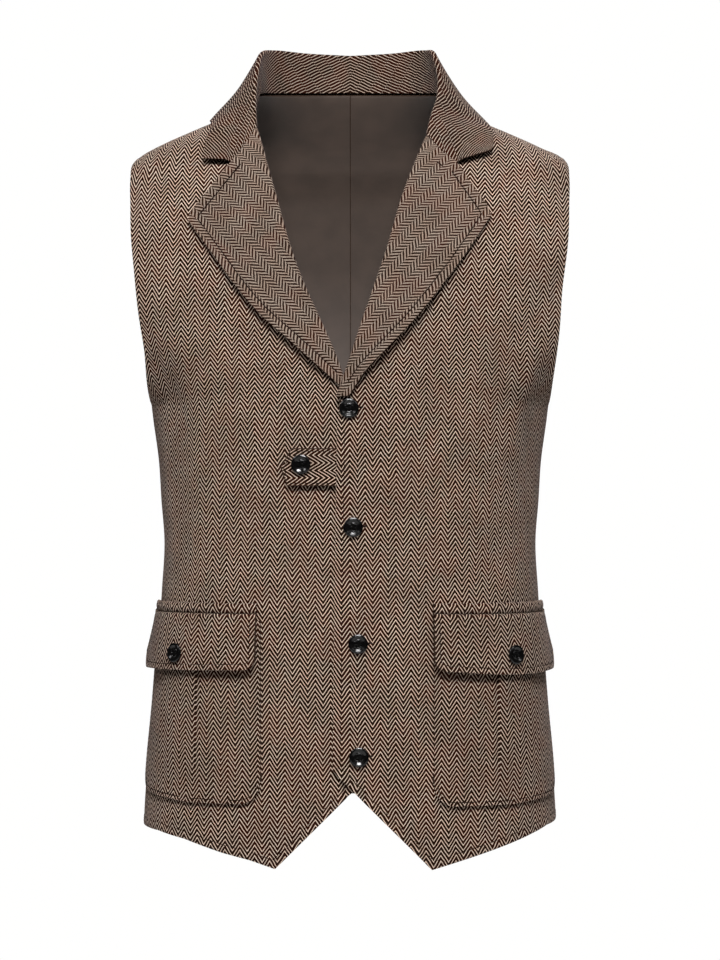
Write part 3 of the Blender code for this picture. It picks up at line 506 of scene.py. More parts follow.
@dataclass
class Pattern:
    """Outlines shared by the fronts, the lapels and the collar."""

    form: WornForm
    wall: float = 2.0
    seam_gap: float = 0.25
    fold_back: float = 3.1
    fold_radius: float = 1.65
    neck_ease: float = 1.8
    break_height: dict[Side, float] = by_side(-224.0, -234.0)
    gorge_height: dict[Side, float] = by_side(3.0, -5.0)
    neck_point: Point = Point(80.0, 42.0)
    back_neck_rise: float = 9.0
    back_neck_drop: float = 0.5
    roll_line: dict[Side, tuple[Point, ...]] = by_side(
        points((3.4, -224), (10.8, -202), (25.5, -168), (41.2, -133), (53.5, -98), (63.5, -62),
               (71.5, -34), (78.0, -10), (82.0, 3)),
        points((-10.5, -234), (0.4, -202), (11.6, -168), (23.7, -133), (35.0, -98), (45.2, -62),
               (55.0, -35), (62.6, -16), (68.5, -2)))
    neckline: dict[Side, tuple[Point, ...]] = by_side(
        points((85.0, 14), (84.0, 25), (82.0, 35), (80.0, 42)),
        points((75.5, 10), (79.0, 24), (80.5, 34), (80.0, 42)))
    front_edge: dict[Side, tuple[Point, ...]] = by_side(
        points((-18, -580), (-18, -556), (-18, -400), (-18, -285), (-10, -258)),
        points((-14.6, -580), (-14.3, -556), (-12.3, -400), (-10.4, -262)))
    hem: dict[Side, tuple[Point, ...]] = by_side(
        points((-18, -559.6), (64.7, -642.8), (87, -635.5), (111, -630), (148, -619.5),
               (180, -614.5), (239, -612)),
        points((-14.6, -556.6), (71.5, -643.8), (111, -632.5), (137, -625), (168, -616),
               (190, -610.5), (239, -607)))
    top_lift: tuple[Point, ...] = points(
        (2.7, -660), (2.7, -333), (5.1, -318), (5.1, -250), (6.3, -226), (6.3, -180), (3.0, -90),
        (0, -20), (0, 60))
    top_lift_full: float = 17.0
    top_lift_end: float = 78.0
    notch: dict[Side, tuple[Point, ...]] = by_side(
        points((102.5, -28.8), (137.0, -73.0), (139.6, -81.5)),
        points((92.3, -30.0), (118.5, -68.5), (122.3, -77.0)))
    lapel_edge: dict[Side, tuple[Point, ...]] = by_side(
        points((8.6, -224.5), (31.5, -204.2), (52.3, -185.1), (73.1, -166.8), (94.1, -143.2),
               (116.1, -113.2), (139.6, -81.5)),
        points((0.0, -233.5), (12.4, -214.6), (33.2, -192.1), (54.8, -168.7), (80.0, -137.2),
               (101.0, -108.9), (122.3, -77.0)))
    collar_corner: dict[Side, Point] = by_side(Point(129.3, -25.0), Point(126.4, -14.6))

    def panel_lift(self, side: Side, girth: Array, height: Array) -> Array:
        """Lift of a front's inner face: the top front rises where it covers the other.

        Args:
            side: the wearer's side.
            girth: girths on the form.
            height: heights on the form.

        Returns:
            Lifts.
        """
        if side is Side.RIGHT:
            return np.zeros(np.broadcast(girth, height).shape)
        fade = 1 - ramp(girth, self.top_lift_full, self.top_lift_end)
        rows = outline_array(self.top_lift)
        return np.interp(height, rows[:, 1], rows[:, 0]) * fade

    def roll_width(self, side: Side, height: Array) -> Array:
        """Outward distance of the roll line at a height."""
        rows = outline_array(self.roll_line[side])
        return smooth_reading(rows[:, 1], rows[:, 0], height)

    def edge_width(self, side: Side, height: Array, ease: float) -> Array:
        """Outward distance of a front's inner edge, from the hem to the neck point.

        Args:
            side: the wearer's side.
            height: heights on the form.
            ease: how far the neck edge stands back.

        Returns:
            Outward distances.
        """
        rows = np.concatenate([outline_array(self.front_edge[side]),
                               outline_array(self.roll_line[side]) + [self.fold_back, 0],
                               outline_array(self.neckline[side]) + [ease, 0]])
        return np.interp(height, rows[:, 1], rows[:, 0])

    def back_neck_height(self, share: Array) -> Array:
        """Height of the back's neck edge, from the middle (0) out to the neck point (1)."""
        return self.neck_point.height - self.back_neck_drop + self.back_neck_rise * (1 - share ** 2)

    def fold_section(self, gap: float, steps: int) -> Array:
        """Way round the folded edge, a half circle: distance out from the roll line, and lift.

        Args:
            gap: gap that the seam leaves.
            steps: steps round the fold.

        Returns:
            Rows of a distance and a lift.
        """
        turn = np.linspace(0, math.pi, steps + 1)
        out = self.fold_radius * (1 - np.sin(turn))
        rise = self.wall / 2 + self.fold_radius * (1 - np.cos(turn))
        start = [[self.fold_back - gap, self.wall / 2]]
        return np.concatenate([start, np.stack([out, rise], axis=-1)])


# ---------------------------------------------------------------- finishes

Socket = bpy.types.NodeSocket
Colour = tuple[float, float, float]


class Wiring:
    """Short ways to add and join shader nodes in one material."""

    def __init__(self, name: str) -> None:
        """Start an empty material with an output and a Principled shader.

        Args:
            name: the material's name.
        """
        self.material = bpy.data.materials.new(name)
        self.material.use_nodes = True
        self.nodes = self.material.node_tree.nodes
        self.links = self.material.node_tree.links
        self.nodes.clear()
        self.shader = self.nodes.new("ShaderNodeBsdfPrincipled")
        output = self.nodes.new("ShaderNodeOutputMaterial")
        self.links.new(self.shader.outputs["BSDF"], output.inputs["Surface"])

    def feed(self, socket: Socket, value: Socket | float | Sequence[float]) -> None:
        """Join a socket to another, or set its number.

        Args:
            socket: input to set.
            value: output to join, or number to set.
        """
        if isinstance(value, bpy.types.NodeSocket):
            self.links.new(value, socket)
        else:
            socket.default_value = value

    def node(self, kind: str, inputs: dict[int | str, object], output: int = 0, **settings: object) -> Socket:
        """Add a node, with its settings made and its inputs joined or set.

        Args:
            kind: the node's type, without its prefix.
            inputs: what goes into each numbered or named input.
            output: number of the output that is wanted.
            settings: the node's own settings.

        Returns:
            The output.
        """
        node = self.nodes.new(f"ShaderNode{kind}")
        for name, value in settings.items():
            setattr(node, name, value)
        for key, value in inputs.items():
            self.feed(node.inputs[key], value)
        return node.outputs[output]

    def math(self, operation: str, *values: Socket | float) -> Socket:
        """Result of a Math node."""
        return self.node("Math", dict(enumerate(values)), operation=operation)

    def smooth(self, value: Socket, low: float, high: float, start: float = 0.0, end: float = 1.0) -> Socket:
        """Smooth step of a value from low to high, onto start to end."""
        values = dict(enumerate((value, low, high, start, end)))
        return self.node("MapRange", values, interpolation_type="SMOOTHSTEP")

    def mix(self, share: Socket | float, *colours: Socket | Colour) -> Socket:
        """Mix of two colours, with the share of the second."""
        given = [c if isinstance(c, bpy.types.NodeSocket) else (*c, 1.0) for c in colours]
        return self.node("Mix", {0: share, 6: given[0], 7: given[1]}, 2, data_type="RGBA")

    def noise(self, vector: Socket, scale: float, detail: float, roughness: float = 0.5) -> Socket:
        """Value of a Noise Texture."""
        values = {"Vector": vector, "Scale": scale, "Detail": detail, "Roughness": roughness}
        return self.node("TexNoise", values)

    def centred(self, value: Socket, gain: float) -> Socket:
        """A value from 0 to 1 turned into a swing either side of nought."""
        return self.math("MULTIPLY", self.math("SUBTRACT", value, 0.5), gain)

    def look(self, **inputs: Socket | float | Sequence[float]) -> None:
        """Set or join the shader's inputs, each named with _ for a blank."""
        for name, value in inputs.items():
            self.feed(self.shader.inputs[name.replace("_", " ")], value)

    def grain(self) -> tuple[Socket, Socket, Socket]:
        """The piece's own cloth coordinates: the vector and its two parts, in metres.

        Returns:
            The vector, the part across and the part along.
        """
        source = self.nodes.new("ShaderNodeUVMap")
        source.uv_map = GRAIN
        parts = self.nodes.new("ShaderNodeSeparateXYZ")
        self.links.new(source.outputs[0], parts.inputs[0])
        return source.outputs[0], parts.outputs[0], parts.outputs[1]

    def ribs(self, along: Socket, pitch: float) -> Socket:
        """Rounded ribs across a length, one at each pitch: the size of a sine."""
        return self.math("ABSOLUTE", self.math("SINE", self.math("MULTIPLY", along, math.pi / pitch)))

    def object_place(self) -> Socket:
        """Object coordinates."""
        return self.nodes.new("ShaderNodeTexCoord").outputs["Object"]

    def bump(self, height: Socket, distance: float, strength: float) -> Socket:
        """Normal from a height."""
        return self.node("Bump", {"Height": height, "Distance": distance, "Strength": strength})


class Weave(Enum):
    """How the twill's legs follow each other from column to column."""

    POINTED = "legs turn at each column and meet in points"
    LEANING = "legs lean one way in all columns"


@dataclass(frozen=True)
class HerringboneCloth:
    """Brushed wool in two yarns, woven in herringbone columns."""

    name: str
    weave: Weave = Weave.POINTED
    half_column: float = 0.0066
    repeat: float = 0.00455
    leg_repeats: float = 2.2
    broken: float = 0.0
    unevenness: float = 0.5
    dark: Colour = (0.012, 0.0046, 0.0021)
    red_dark: Colour = (0.021, 0.0050, 0.0021)
    light: Colour = (0.915, 0.730, 0.590)
    warm_light: Colour = (0.885, 0.645, 0.500)
    fleck: Colour = (0.25, 0.18, 0.14)
    pale_fibre: Colour = (0.92, 0.83, 0.70)
    brown_fibre: Colour = (0.100, 0.058, 0.036)
    columns_aside: float = 200.0
    warp_pitch: float = 0.00083
    weft_pitch: float = 0.00108
    step: tuple[float, float] = (0.50, 1.03)
    span: tuple[float, float] = (0.0, 1.0)

    def leg(self, w: Wiring, width: Socket) -> Socket:
        """Phase that the twill's leg adds over the width, in repeats.

        Pointed: a triangle wave with one leg per half column. Leaning: a straight rise.
        A broken twill adds its part of a repeat more at each half column.

        Args:
            w: the material's wiring.
            width: distance across the columns.

        Returns:
            The phase.
        """
        columns = w.math("DIVIDE", width, self.half_column)
        pointed = self.weave is Weave.POINTED
        turned = w.math("PINGPONG", w.math("ADD", columns, self.columns_aside), 1.0) if pointed else columns
        leg = w.math("MULTIPLY", turned, self.leg_repeats)
        if not self.broken:
            return leg
        return w.math("ADD", leg, w.math("MULTIPLY", w.math("FLOOR", columns), self.broken))

    def material(self) -> bpy.types.Material:
        """Material of the cloth: the stripe is a smooth step of the sine of the length plus the leg.

        Returns:
            The new material.
        """
        w = Wiring(self.name)
        vector, across, along = w.grain()
        place = w.object_place()
        width = w.math("ADD", across, w.centred(w.noise(vector, 90.0, 2.0), 0.0016))
        length = w.math("ADD", along, w.centred(w.noise(place, 55.0, 2.0), 0.0022))
        phase = w.math("ADD", w.math("DIVIDE", length, self.repeat), self.leg(w, width))
        wave = w.math("SINE", w.math("MULTIPLY", phase, 2 * math.pi))
        fibre = w.noise(vector, 2600.0, 3.0, 0.7)
        flecks = w.noise(vector, 900.0, 2.0, 0.6)
        wave = w.math("ADD", w.math("ADD", wave, w.centred(fibre, 0.9)), w.centred(flecks, self.unevenness))
        stripe = w.smooth(wave, *self.step, *self.span)
        warp, weft = w.ribs(width, self.warp_pitch), w.ribs(length, self.weft_pitch)
        light = w.mix(w.smooth(w.noise(vector, 70.0, 3.0, 0.6), 0.38, 0.62), self.warm_light, self.light)
        light = w.mix(w.smooth(w.noise(vector, 34.0, 2.0), 0.35, 0.65, 0.0, 0.16), light, self.dark)
        light = w.mix(w.smooth(flecks, 0.42, 0.75, 0.0, 0.4), light, self.fleck)
        light = w.mix(w.smooth(fibre, 0.52, 0.75, 0.0, 0.7), light, self.pale_fibre)
        light = w.mix(w.math("MULTIPLY", w.math("SUBTRACT", 1.0, warp), 0.25), light, self.dark)
        dark = w.mix(w.smooth(w.noise(place, 42.0, 2.0), 0.44, 0.60), self.dark, self.red_dark)
        dark = w.mix(w.smooth(fibre, 0.5, 0.85, 0.0, 0.15), dark, self.brown_fibre)
        yarn = w.math("ADD", w.math("MULTIPLY", stripe, warp),
                      w.math("MULTIPLY", w.math("SUBTRACT", 1.0, stripe), weft))
        relief = w.math("ADD", w.math("MULTIPLY", stripe, 0.7), w.math("MULTIPLY", yarn, 0.5))
        relief = w.math("ADD", relief, w.math("MULTIPLY", fibre, 0.5))
        w.look(Base_Color=w.mix(stripe, dark, light), Roughness=0.93, Specular_IOR_Level=0.02,
               Sheen_Weight=0.06, Sheen_Roughness=0.45, Sheen_Tint=(0.80, 0.70, 0.76, 1.0),
               Normal=w.bump(relief, 0.00016, 0.8))
        return w.material


@dataclass(frozen=True)
class FibreFinish:
    """One colour broken towards a darker tone by fibre noise, which is its relief too."""

    name: str
    colour: Colour
    shade: float
    scale: float
    detail: float
    grit: float
    full: tuple[float, float]
    roughness: float
    specular: float
    relief: float

    def material(self) -> bpy.types.Material:
        """Material of the finish.

        Returns:
            The new material.
        """
        w = Wiring(self.name)
        fibre = w.noise(w.object_place(), self.scale, self.detail, self.grit)
        low = tuple(c * self.shade for c in self.colour)
        w.look(Base_Color=w.mix(w.smooth(fibre, *self.full), low, self.colour), Roughness=self.roughness,
               Specular_IOR_Level=self.specular, Normal=w.bump(fibre, self.relief, 0.6))
        return w.material


def painted_shade_edge() -> FibreFinish:
    """Painted shade for the edges of every cloth shell: a dark wool colour on the rim and rounded edge,
    standing in for the shadow and dark line along each edge.
    """
    return FibreFinish("painted_shade_edge", colour=(0.050, 0.031, 0.022), shade=0.35, scale=1500.0, detail=3.0,
                       grit=0.7, full=(0.35, 0.7), roughness=0.93, specular=0.02, relief=0.0001)


def brown_thread() -> FibreFinish:
    """Spun sewing thread."""
    return FibreFinish("brown_thread", colour=(0.013, 0.006, 0.004), shade=0.6, scale=2400.0, detail=2.0,
                       grit=0.5, full=(0.3, 0.7), roughness=0.85, specular=0.06, relief=0.00008)


@dataclass(frozen=True)
class Lining:
    """Plain woven brown lining, a little smoother than the cloth."""

    name: str = "brown_lining"
    colour: Colour = (0.060, 0.040, 0.030)
    cloudy: Colour = (0.0492, 0.0328, 0.0246)

    def material(self) -> bpy.types.Material:
        """Material of the lining: fine ribs across and along, as two sine waves.

        Returns:
            The new material.
        """
        w = Wiring(self.name)
        vector, across, along = w.grain()
        ribs = w.math("MULTIPLY", w.math("SINE", w.math("MULTIPLY", across, math.pi / 0.00035)),
                      w.math("SINE", w.math("MULTIPLY", along, math.pi / 0.00045)))
        share = w.smooth(w.noise(vector, 45.0, 3.0), 0.3, 0.7)
        w.look(Base_Color=w.mix(share, self.cloudy, self.colour), Roughness=0.55, Sheen_Weight=0.15,
               Normal=w.bump(ribs, 0.00005, 0.5))
        return w.material


@dataclass(frozen=True)
class PolishedButton:
    """Glossy black button plastic with faint clouding and fine scratches."""

    name: str = "polished_black"
    tones: tuple[Colour, Colour] = ((0.0010, 0.0009, 0.0009), (0.0024, 0.0021, 0.0020))

    def material(self) -> bpy.types.Material:
        """Material of the buttons: near black, roughness varied by noise.

        Returns:
            The new material.
        """
        w = Wiring(self.name)
        place = w.object_place()
        w.look(Base_Color=w.mix(w.smooth(w.noise(place, 130.0, 3.0), 0.35, 0.7), *self.tones),
               Roughness=w.smooth(w.noise(place, 700.0, 2.0), 0.3, 0.7, 0.15, 0.22), Specular_IOR_Level=0.36)
        return w.material


@dataclass(frozen=True)
class PaintedFloor:
    """Plain pale studio floor."""

    name: str = "pale_floor"
    tones: tuple[Colour, Colour] = ((0.70, 0.70, 0.695), (0.73, 0.73, 0.725))

    def material(self) -> bpy.types.Material:
        """Material of the floor.

        Returns:
            The new material.
        """
        w = Wiring(self.name)
        w.look(Base_Color=w.mix(w.noise(w.object_place(), 3.0, 2.0), *self.tones), Roughness=0.8)
        return w.material


# ---------------------------------------------------------------- making meshes

class Lay(Enum):
    """Where the grid of a shell lies in its wall; the value is Solidify's offset."""

    INNER_FACE = 1.0
    MIDDLE = 0.0
    OUTER_FACE = -1.0


def quads_of_grid(rows: int, columns: int, turned: bool) -> NDArray[np.int64]:
    """Corner numbers of a grid's quads, row by row; turned faces run the other way round.

    Args:
        rows: rows of corners.
        columns: corners in a row.
        turned: whether the faces are turned over.

    Returns:
        Four corner numbers for each quad.
    """
    index = np.arange(rows * columns).reshape(rows, columns)
    around = (index[:-1, :-1], index[:-1, 1:], index[1:, 1:], index[1:, :-1])
    quads = np.stack(around, axis=-1).reshape(-1, 4)
    return quads[:, ::-1] if turned else quads


def quads_of_ring(rows: int, corners: int) -> NDArray[np.int64]:
    """Corner numbers of the quads between closed rings, ring by ring.

    Args:
        rows: number of rings.
        corners: corners in a ring.

    Returns:
        Four corner numbers for each quad.
    """
    index = np.arange(rows * corners).reshape(rows, corners)
    after = np.roll(index, -1, axis=1)
    return np.stack([index[:-1], after[:-1], after[1:], index[1:]], axis=-1).reshape(-1, 4)


def new_mesh(name: str, places: Array, faces: list[list[int]]) -> bpy.types.Mesh:
    """A mesh of places and faces.

    Args:
        name: name of the new mesh.
        places: places in millimetres.
        faces: corner numbers of each face.

    Returns:
        The new mesh.
    """
    mesh = bpy.data.meshes.new(name)
    mesh.from_pydata((places.reshape(-1, 3) * MM).tolist(), [], faces)
    mesh.update()
    return mesh


def new_object(name: str, mesh: bpy.types.Mesh, finishes: Sequence[bpy.types.Material]) -> bpy.types.Object:
    """An object at the origin with smooth faces and its materials.

    Args:
        name: name of the new thing.
        mesh: its mesh.
        finishes: its materials.

    Returns:
        The new object.
    """
    for material in finishes:
        mesh.materials.append(material)
    mesh.polygons.foreach_set("use_smooth", np.ones(len(mesh.polygons), bool))
    item = bpy.data.objects.new(name, mesh)
    bpy.context.scene.collection.objects.link(item)
    return item


@dataclass
class ClothShell:
    """A wall of cloth on a grid of places, with rounded edges whose rim carries painted shade."""

    name: str
    places: Array
    grain: Array
    turned: bool
    finishes: Sequence[bpy.types.Material]
    lay: Lay = Lay.INNER_FACE
    wall: float = 2.0
    edge_rounding: float = 0.75

    def build(self) -> bpy.types.Object:
        """Make the shell: grid quads, then Solidify for the wall and Bevel for its edge.

        Returns:
            The new object.
        """
        quads = quads_of_grid(*self.places.shape[:2], self.turned)
        mesh = new_mesh(self.name, self.places, quads.tolist())
        layer = mesh.uv_layers.new(name=GRAIN)
        layer.data.foreach_set("uv", self.grain.reshape(-1, 2)[quads.ravel()].ravel())
        # The last material is painted shade: a dark colour on the wall's rim and rounded edge that stands in
        # for the shadow along every cloth edge.
        item = new_object(self.name, mesh, (*self.finishes, painted_shade_edge().material()))
        wall = item.modifiers.new("wall", "SOLIDIFY")
        wall.thickness = self.wall * MM
        wall.offset = self.lay.value
        wall.use_even_offset = self.lay is Lay.INNER_FACE
        wall.material_offset = len(self.finishes) - 1
        # The rim and the rounded edge take the painted-shade material.
        wall.material_offset_rim = len(self.finishes)
        rounding = item.modifiers.new("rounded_edge", "BEVEL")
        rounding.width = self.edge_rounding * MM
        rounding.segments = 2
        rounding.limit_method = "ANGLE"
        rounding.angle_limit = math.radians(60)
        rounding.material = len(self.finishes)
        return item


def settle(item: bpy.types.Object, nodes: Sequence[str]) -> bpy.types.Object:
    """Hang a piece on the root body, in place of its CAD nodes, and log it.

    Args:
        item: the piece.
        nodes: CAD nodes that it replaces.

    Returns:
        The piece.
    """
    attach(item, "root")
    if nodes:
        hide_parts(*nodes)
    log.info("piece %s: %d faces before its wall", item.name, len(item.data.polygons))
    return item


@dataclass
class GridReading:
    """Reads places and normals of a shell's grid at flat places of its pattern."""

    flat: Array
    places: Array

    def at(self, line: Array, outwards: float) -> tuple[Array, Array]:
        """Places a distance outwards of the grid, and normals, at a line of flat places.

        Formula: the plane of least squares through the nine grid places around the nearest.

        Args:
            line: Flat places, one per row.
            outwards: Distance from the grid along the normal, in millimetres.

        Returns:
            Places in millimetres and their unit normals, which point away from the body.
        """
        rows, columns = self.flat.shape[:2]
        gaps = np.linalg.norm(self.flat.reshape(1, -1, 2) - line[:, None], axis=-1)
        row, column = np.divmod(gaps.argmin(axis=1), columns)
        row, column = np.clip(row, 1, rows - 2), np.clip(column, 1, columns - 2)
        near_rows = row[:, None] + np.repeat([-1, 0, 1], 3)
        near_columns = column[:, None] + np.tile([-1, 0, 1], 3)
        offsets = self.flat[near_rows, near_columns] - line[:, None]
        terms = np.concatenate([np.ones(offsets.shape[:2] + (1,)), offsets], axis=-1)
        turned = terms.transpose(0, 2, 1)
        near = self.places[near_rows, near_columns]
        found = np.linalg.solve(turned @ terms + 1e-7 * np.eye(3), turned @ near)
        normal = unit(np.cross(found[:, 1], found[:, 2]))
        away = near[:, 4] * [1, 1, 0]
        normal = normal * np.sign(np.sum(normal * away, axis=-1, keepdims=True))
        return found[:, 0] + normal * outwards, normal


def inset_line(outline: Array, inset: float, step: float = 0.8) -> Array:
    """Line inside an outline at an even distance, by moving its dense points to the inner side.

    Points that end up nearer to the outline than the inset are left out.

    Args:
        outline: corners of the outline.
        inset: distance inside it.
        step: spacing of the dense points.

    Returns:
        Rows of places on the line.
    """
    runs = run_lengths(outline)
    dense = along_polyline(outline, np.arange(0, runs[-1], step))
    way = unit(np.gradient(dense, axis=0))
    sides = [dense + inset * np.stack([turn * way[:, 1], -turn * way[:, 0]], axis=-1) for turn in (-1, 1)]
    inner = min(sides, key=lambda side: run_lengths(side)[-1])
    return inner[distance_to_path(inner, outline) > inset - 0.05]


@dataclass
class StitchRow:
    """A row of short stitches along a line on a piece, each one a small capsule."""

    name: str
    line: Array
    normals: Array
    slot: str
    pitch: float = 3.1
    length: float = 2.4
    radius: float = 0.45
    sunk: float = 0.15

    def starts(self, total: float) -> Array:
        """Starts of the stitches on a line of a length; a line too short for two holds one.

        Args:
            total: length of the line.

        Returns:
            Lengths along the line.
        """
        if total < 1.5 * self.pitch:
            return np.array([(total - self.length) / 2])
        return np.arange(self.pitch / 2, total - self.pitch, self.pitch)

    def build(self) -> bpy.types.Object:
        """Make the row: capsule rings repeated at even steps along the line.

        Returns:
            The new object.
        """
        runs = run_lengths(self.line)
        starts = self.starts(runs[-1])
        middle = along_polyline(self.line, starts + self.length / 2)
        way = unit(along_polyline(self.line, starts + self.length) - along_polyline(self.line, starts))
        out = unit(np.stack([np.interp(starts, runs, self.normals[:, k]) for k in range(3)], axis=-1))
        across = unit(np.cross(way, out))
        half = self.length / 2
        rings = np.array([(-half, 0.45), (-half * 0.7, 1.0), (half * 0.7, 1.0), (half, 0.45)])
        along, wide = np.repeat(rings[:, 0], CORNERS), np.repeat(rings[:, 1], CORNERS) * self.radius
        turns = np.tile(np.linspace(0, 2 * math.pi, CORNERS, endpoint=False), len(rings))
        places = (middle[:, None] + along[None, :, None] * way[:, None]
                  + (wide * np.cos(turns))[None, :, None] * across[:, None]
                  + (wide * np.sin(turns) - self.sunk)[None, :, None] * out[:, None])
        sides = quads_of_ring(len(rings), CORNERS).tolist()
        ends = [list(range(CORNERS - 1, -1, -1)), list(range(len(turns) - CORNERS, len(turns)))]
        faces = [[corner + len(turns) * n for corner in face]
                 for n in range(len(starts)) for face in sides + ends]
        mesh = new_mesh(self.name, places, faces)
        return settle(new_object(self.name, mesh, (brown_thread().material(),)), [])


@dataclass
class ThreadBar:
    """One thick bar of thread between two places of the form, such as a buttonhole's end."""

    name: str
    form: WornForm
    start: Point
    end: Point
    lift: float
    slot: str
    radius: float = 0.7

    def build(self) -> bpy.types.Object:
        """Make the bar: a row of one stitch, as long as the line.

        Returns:
            The new object.
        """
        share = np.linspace(0, 1, 5)
        girth = self.start.width + (self.end.width - self.start.width) * share
        height = self.start.height + (self.end.height - self.start.height) * share
        places = self.form.with_shoulders(self.form.place(girth, height, self.lift))
        normals = self.form.outward(girth, height, Face.FRONT)
        total = float(run_lengths(places)[-1])
        return StitchRow(self.name, places, normals, self.slot, total, total, self.radius).build()


# ---------------------------------------------------------------- body of the garment

@dataclass(frozen=True)
class Cut:
    """Flat size of a piece before it was sewn, in metres, and its area in square metres."""

    width: float
    length: float
    area: float

    def declare(self, item: bpy.types.Object, held: str, rests_on: Sequence[str]) -> None:
        """Does nothing: the piece is not declared as a sheet here."""


@dataclass
class SewnPiece:
    """A piece of the waistcoat, with the cloth and the flat size that it is cut from."""

    pattern: Pattern
    cloth: HerringboneCloth
    cut: Cut

    def sew(self, shell: ClothShell, node: str, slot: str, held: str, *rests_on: str) -> bpy.types.Object:
        """Make the shell and hang it in place of its CAD node; the call that would declare its sheet does
        nothing.

        Args:
            shell: the shell to make.
            node: CAD node that it replaces.
            slot: not used.
            held: not used.
            rests_on: not used.

        Returns:
            The new object.
        """
        item = settle(shell.build(), [node])
        self.cut.declare(item, held, rests_on)
        return item


@dataclass
class SidedPiece(SewnPiece):
    """A piece that the wearer's right and left each have."""

    side: Side

    def lay(self, girth: Array, height: Array, lift: Array, face: Face = Face.FRONT) -> tuple[Array, Array]:
        """Places and cloth coordinates of the piece on its own side of the form.

        Args:
            girth: girths, counted outwards.
            height: heights.
            lift: lifts off the form.
            face: half of the form.

        Returns:
            The places, without the shoulders' padding, and the cloth coordinates.
        """
        form, girth = self.pattern.form, self.side.value * girth
        return form.place(girth, height, lift, face), form.grain(girth, height, face)


@dataclass
class FrontPanel(SidedPiece):
    """One front, from the pointed hem over the chest to the shoulder seam."""

    first_level: float = -545.0
    top_level: float = 33.0
    row_step: float = 3.0
    hem_rows: int = 34
    tip_columns: int = 30
    outer_columns: int = 48
    edge_roll: float = 0.5
    edge_swell: float = 1.6
    under_shift: float = 0.0031
    stitch_inset: float = 6.6
    groove: float = 0.45

    def heights_and_girths(self) -> tuple[Array, Array, Array, Array]:
        """Grid of heights and girths, with the distances from the front edge and from the hem.

        Returns:
            Heights, girths, and distances from the edge and from the hem.
        """
        pattern, side = self.pattern, self.side
        hem = outline_array(pattern.hem[side])
        tip = hem[1, 0]
        columns = np.concatenate([np.linspace(hem[0, 0], tip, self.tip_columns + 1),
                                  np.linspace(tip, hem[-1, 0], self.outer_columns + 1)[1:]])
        shares = (columns - hem[0, 0]) / (hem[-1, 0] - hem[0, 0])
        low = np.interp(columns, hem[:, 0], hem[:, 1])
        up = np.linspace(0, 1, self.hem_rows + 1)[:-1, None]
        lower = low[None] + (self.first_level - low[None]) * up
        count = int((self.top_level - self.first_level) / self.row_step) + 1
        levels = np.linspace(self.first_level, self.top_level, count)[:, None] * np.ones(shares.shape)
        height = np.concatenate([lower, levels])
        inner = pattern.form.girth_at_width(pattern.edge_width(side, height, pattern.neck_ease), height)
        outer = pattern.form.girth_at_scye(height, Face.FRONT)
        girth = inner + shares * (outer - inner)
        from_hem = (height - low[None]) * math.cos(math.radians(30))
        return height, girth, girth - inner, from_hem

    def build(self) -> bpy.types.Object:
        """Make the panel: form places whose lift adds a turned edge along the front and the hem.

        Returns:
            The new object.
        """
        height, girth, from_edge, from_hem = self.heights_and_girths()
        near = np.minimum(from_edge, from_hem)
        turned = self.edge_roll * (1 - ramp(near, 6.0, 9.0)) * ramp(near, 0.0, 1.5)
        lift = self.pattern.panel_lift(self.side, girth, height)
        lift = lift - self.groove * bell(near, self.stitch_inset, 0.9)
        if self.side is Side.LEFT:
            lift = lift + self.edge_swell * bell(from_edge, 9.0, 5.0) * (1 - ramp(height, ROLL_START, -248))
        places, grain = self.lay(girth, height, lift + turned * 0.5)
        places = self.pattern.form.with_shoulders(places)
        under = self.side is Side.RIGHT
        label = self.side.label
        shell = ClothShell(f"cloth_front_{label}", places, grain + [self.under_shift if under else 0.0, 0.0],
                           under, (self.cloth.material(), Lining().material()))
        item = self.sew(shell, f"front_{label}", "cloth", "hung", "wearer_shoulders")
        flat = np.stack([girth, height], axis=-1)
        border = np.concatenate([flat[height[:, 0] < ROLL_START, 0][::-1], flat[0, 1:]])
        line = inset_line(border, self.stitch_inset, 1.5)[:-4]
        StitchRow(f"stitches_front_{label}", *GridReading(flat, places).at(line, self.pattern.wall), "cloth",
                  radius=0.36).build()
        return item


@dataclass
class BackPanel(SidedPiece):
    """Half of the back, plain, with the seam down the middle."""

    middle_hem: float = -600.0
    first_level: float = -575.0
    top_level: float = 30.0
    row_step: float = 3.6
    hem_rows: int = 8
    neck_rows: int = 8
    columns: int = 62
    seam_overlap: float = 0.3

    def build(self) -> bpy.types.Object:
        """Make the half: rows from the hem to the neck edge, columns by share of the girth.

        Returns:
            The new object.
        """
        pattern, label = self.pattern, self.side.label
        shares = np.linspace(0, 1, self.columns + 1)[None]
        low = self.middle_hem + (pattern.hem[self.side][-1].height - self.middle_hem) * shares ** 2
        top = pattern.back_neck_height(shares) - pattern.neck_ease
        up = np.linspace(0, 1, self.hem_rows + 1)[:-1, None]
        count = int((self.top_level - self.first_level) / self.row_step) + 1
        levels = np.linspace(self.first_level, self.top_level, count)[:, None] * np.ones(shares.shape)
        upper = self.top_level + (top - self.top_level) * np.linspace(0, 1, self.neck_rows)[1:, None]
        height = np.concatenate([low + (self.first_level - low) * up, levels, upper])
        outer = pattern.form.girth_at_scye(height, Face.BACK)
        girth = shares * (outer + self.seam_overlap) - self.seam_overlap
        places, grain = self.lay(girth, height, 0.0, Face.BACK)
        shell = ClothShell(f"cloth_back_{label}", pattern.form.with_shoulders(places), grain,
                           self.side is Side.LEFT, (self.cloth.material(), Lining().material()))
        return self.sew(shell, f"back_{label}", "cloth", "hung", "wearer_shoulders")


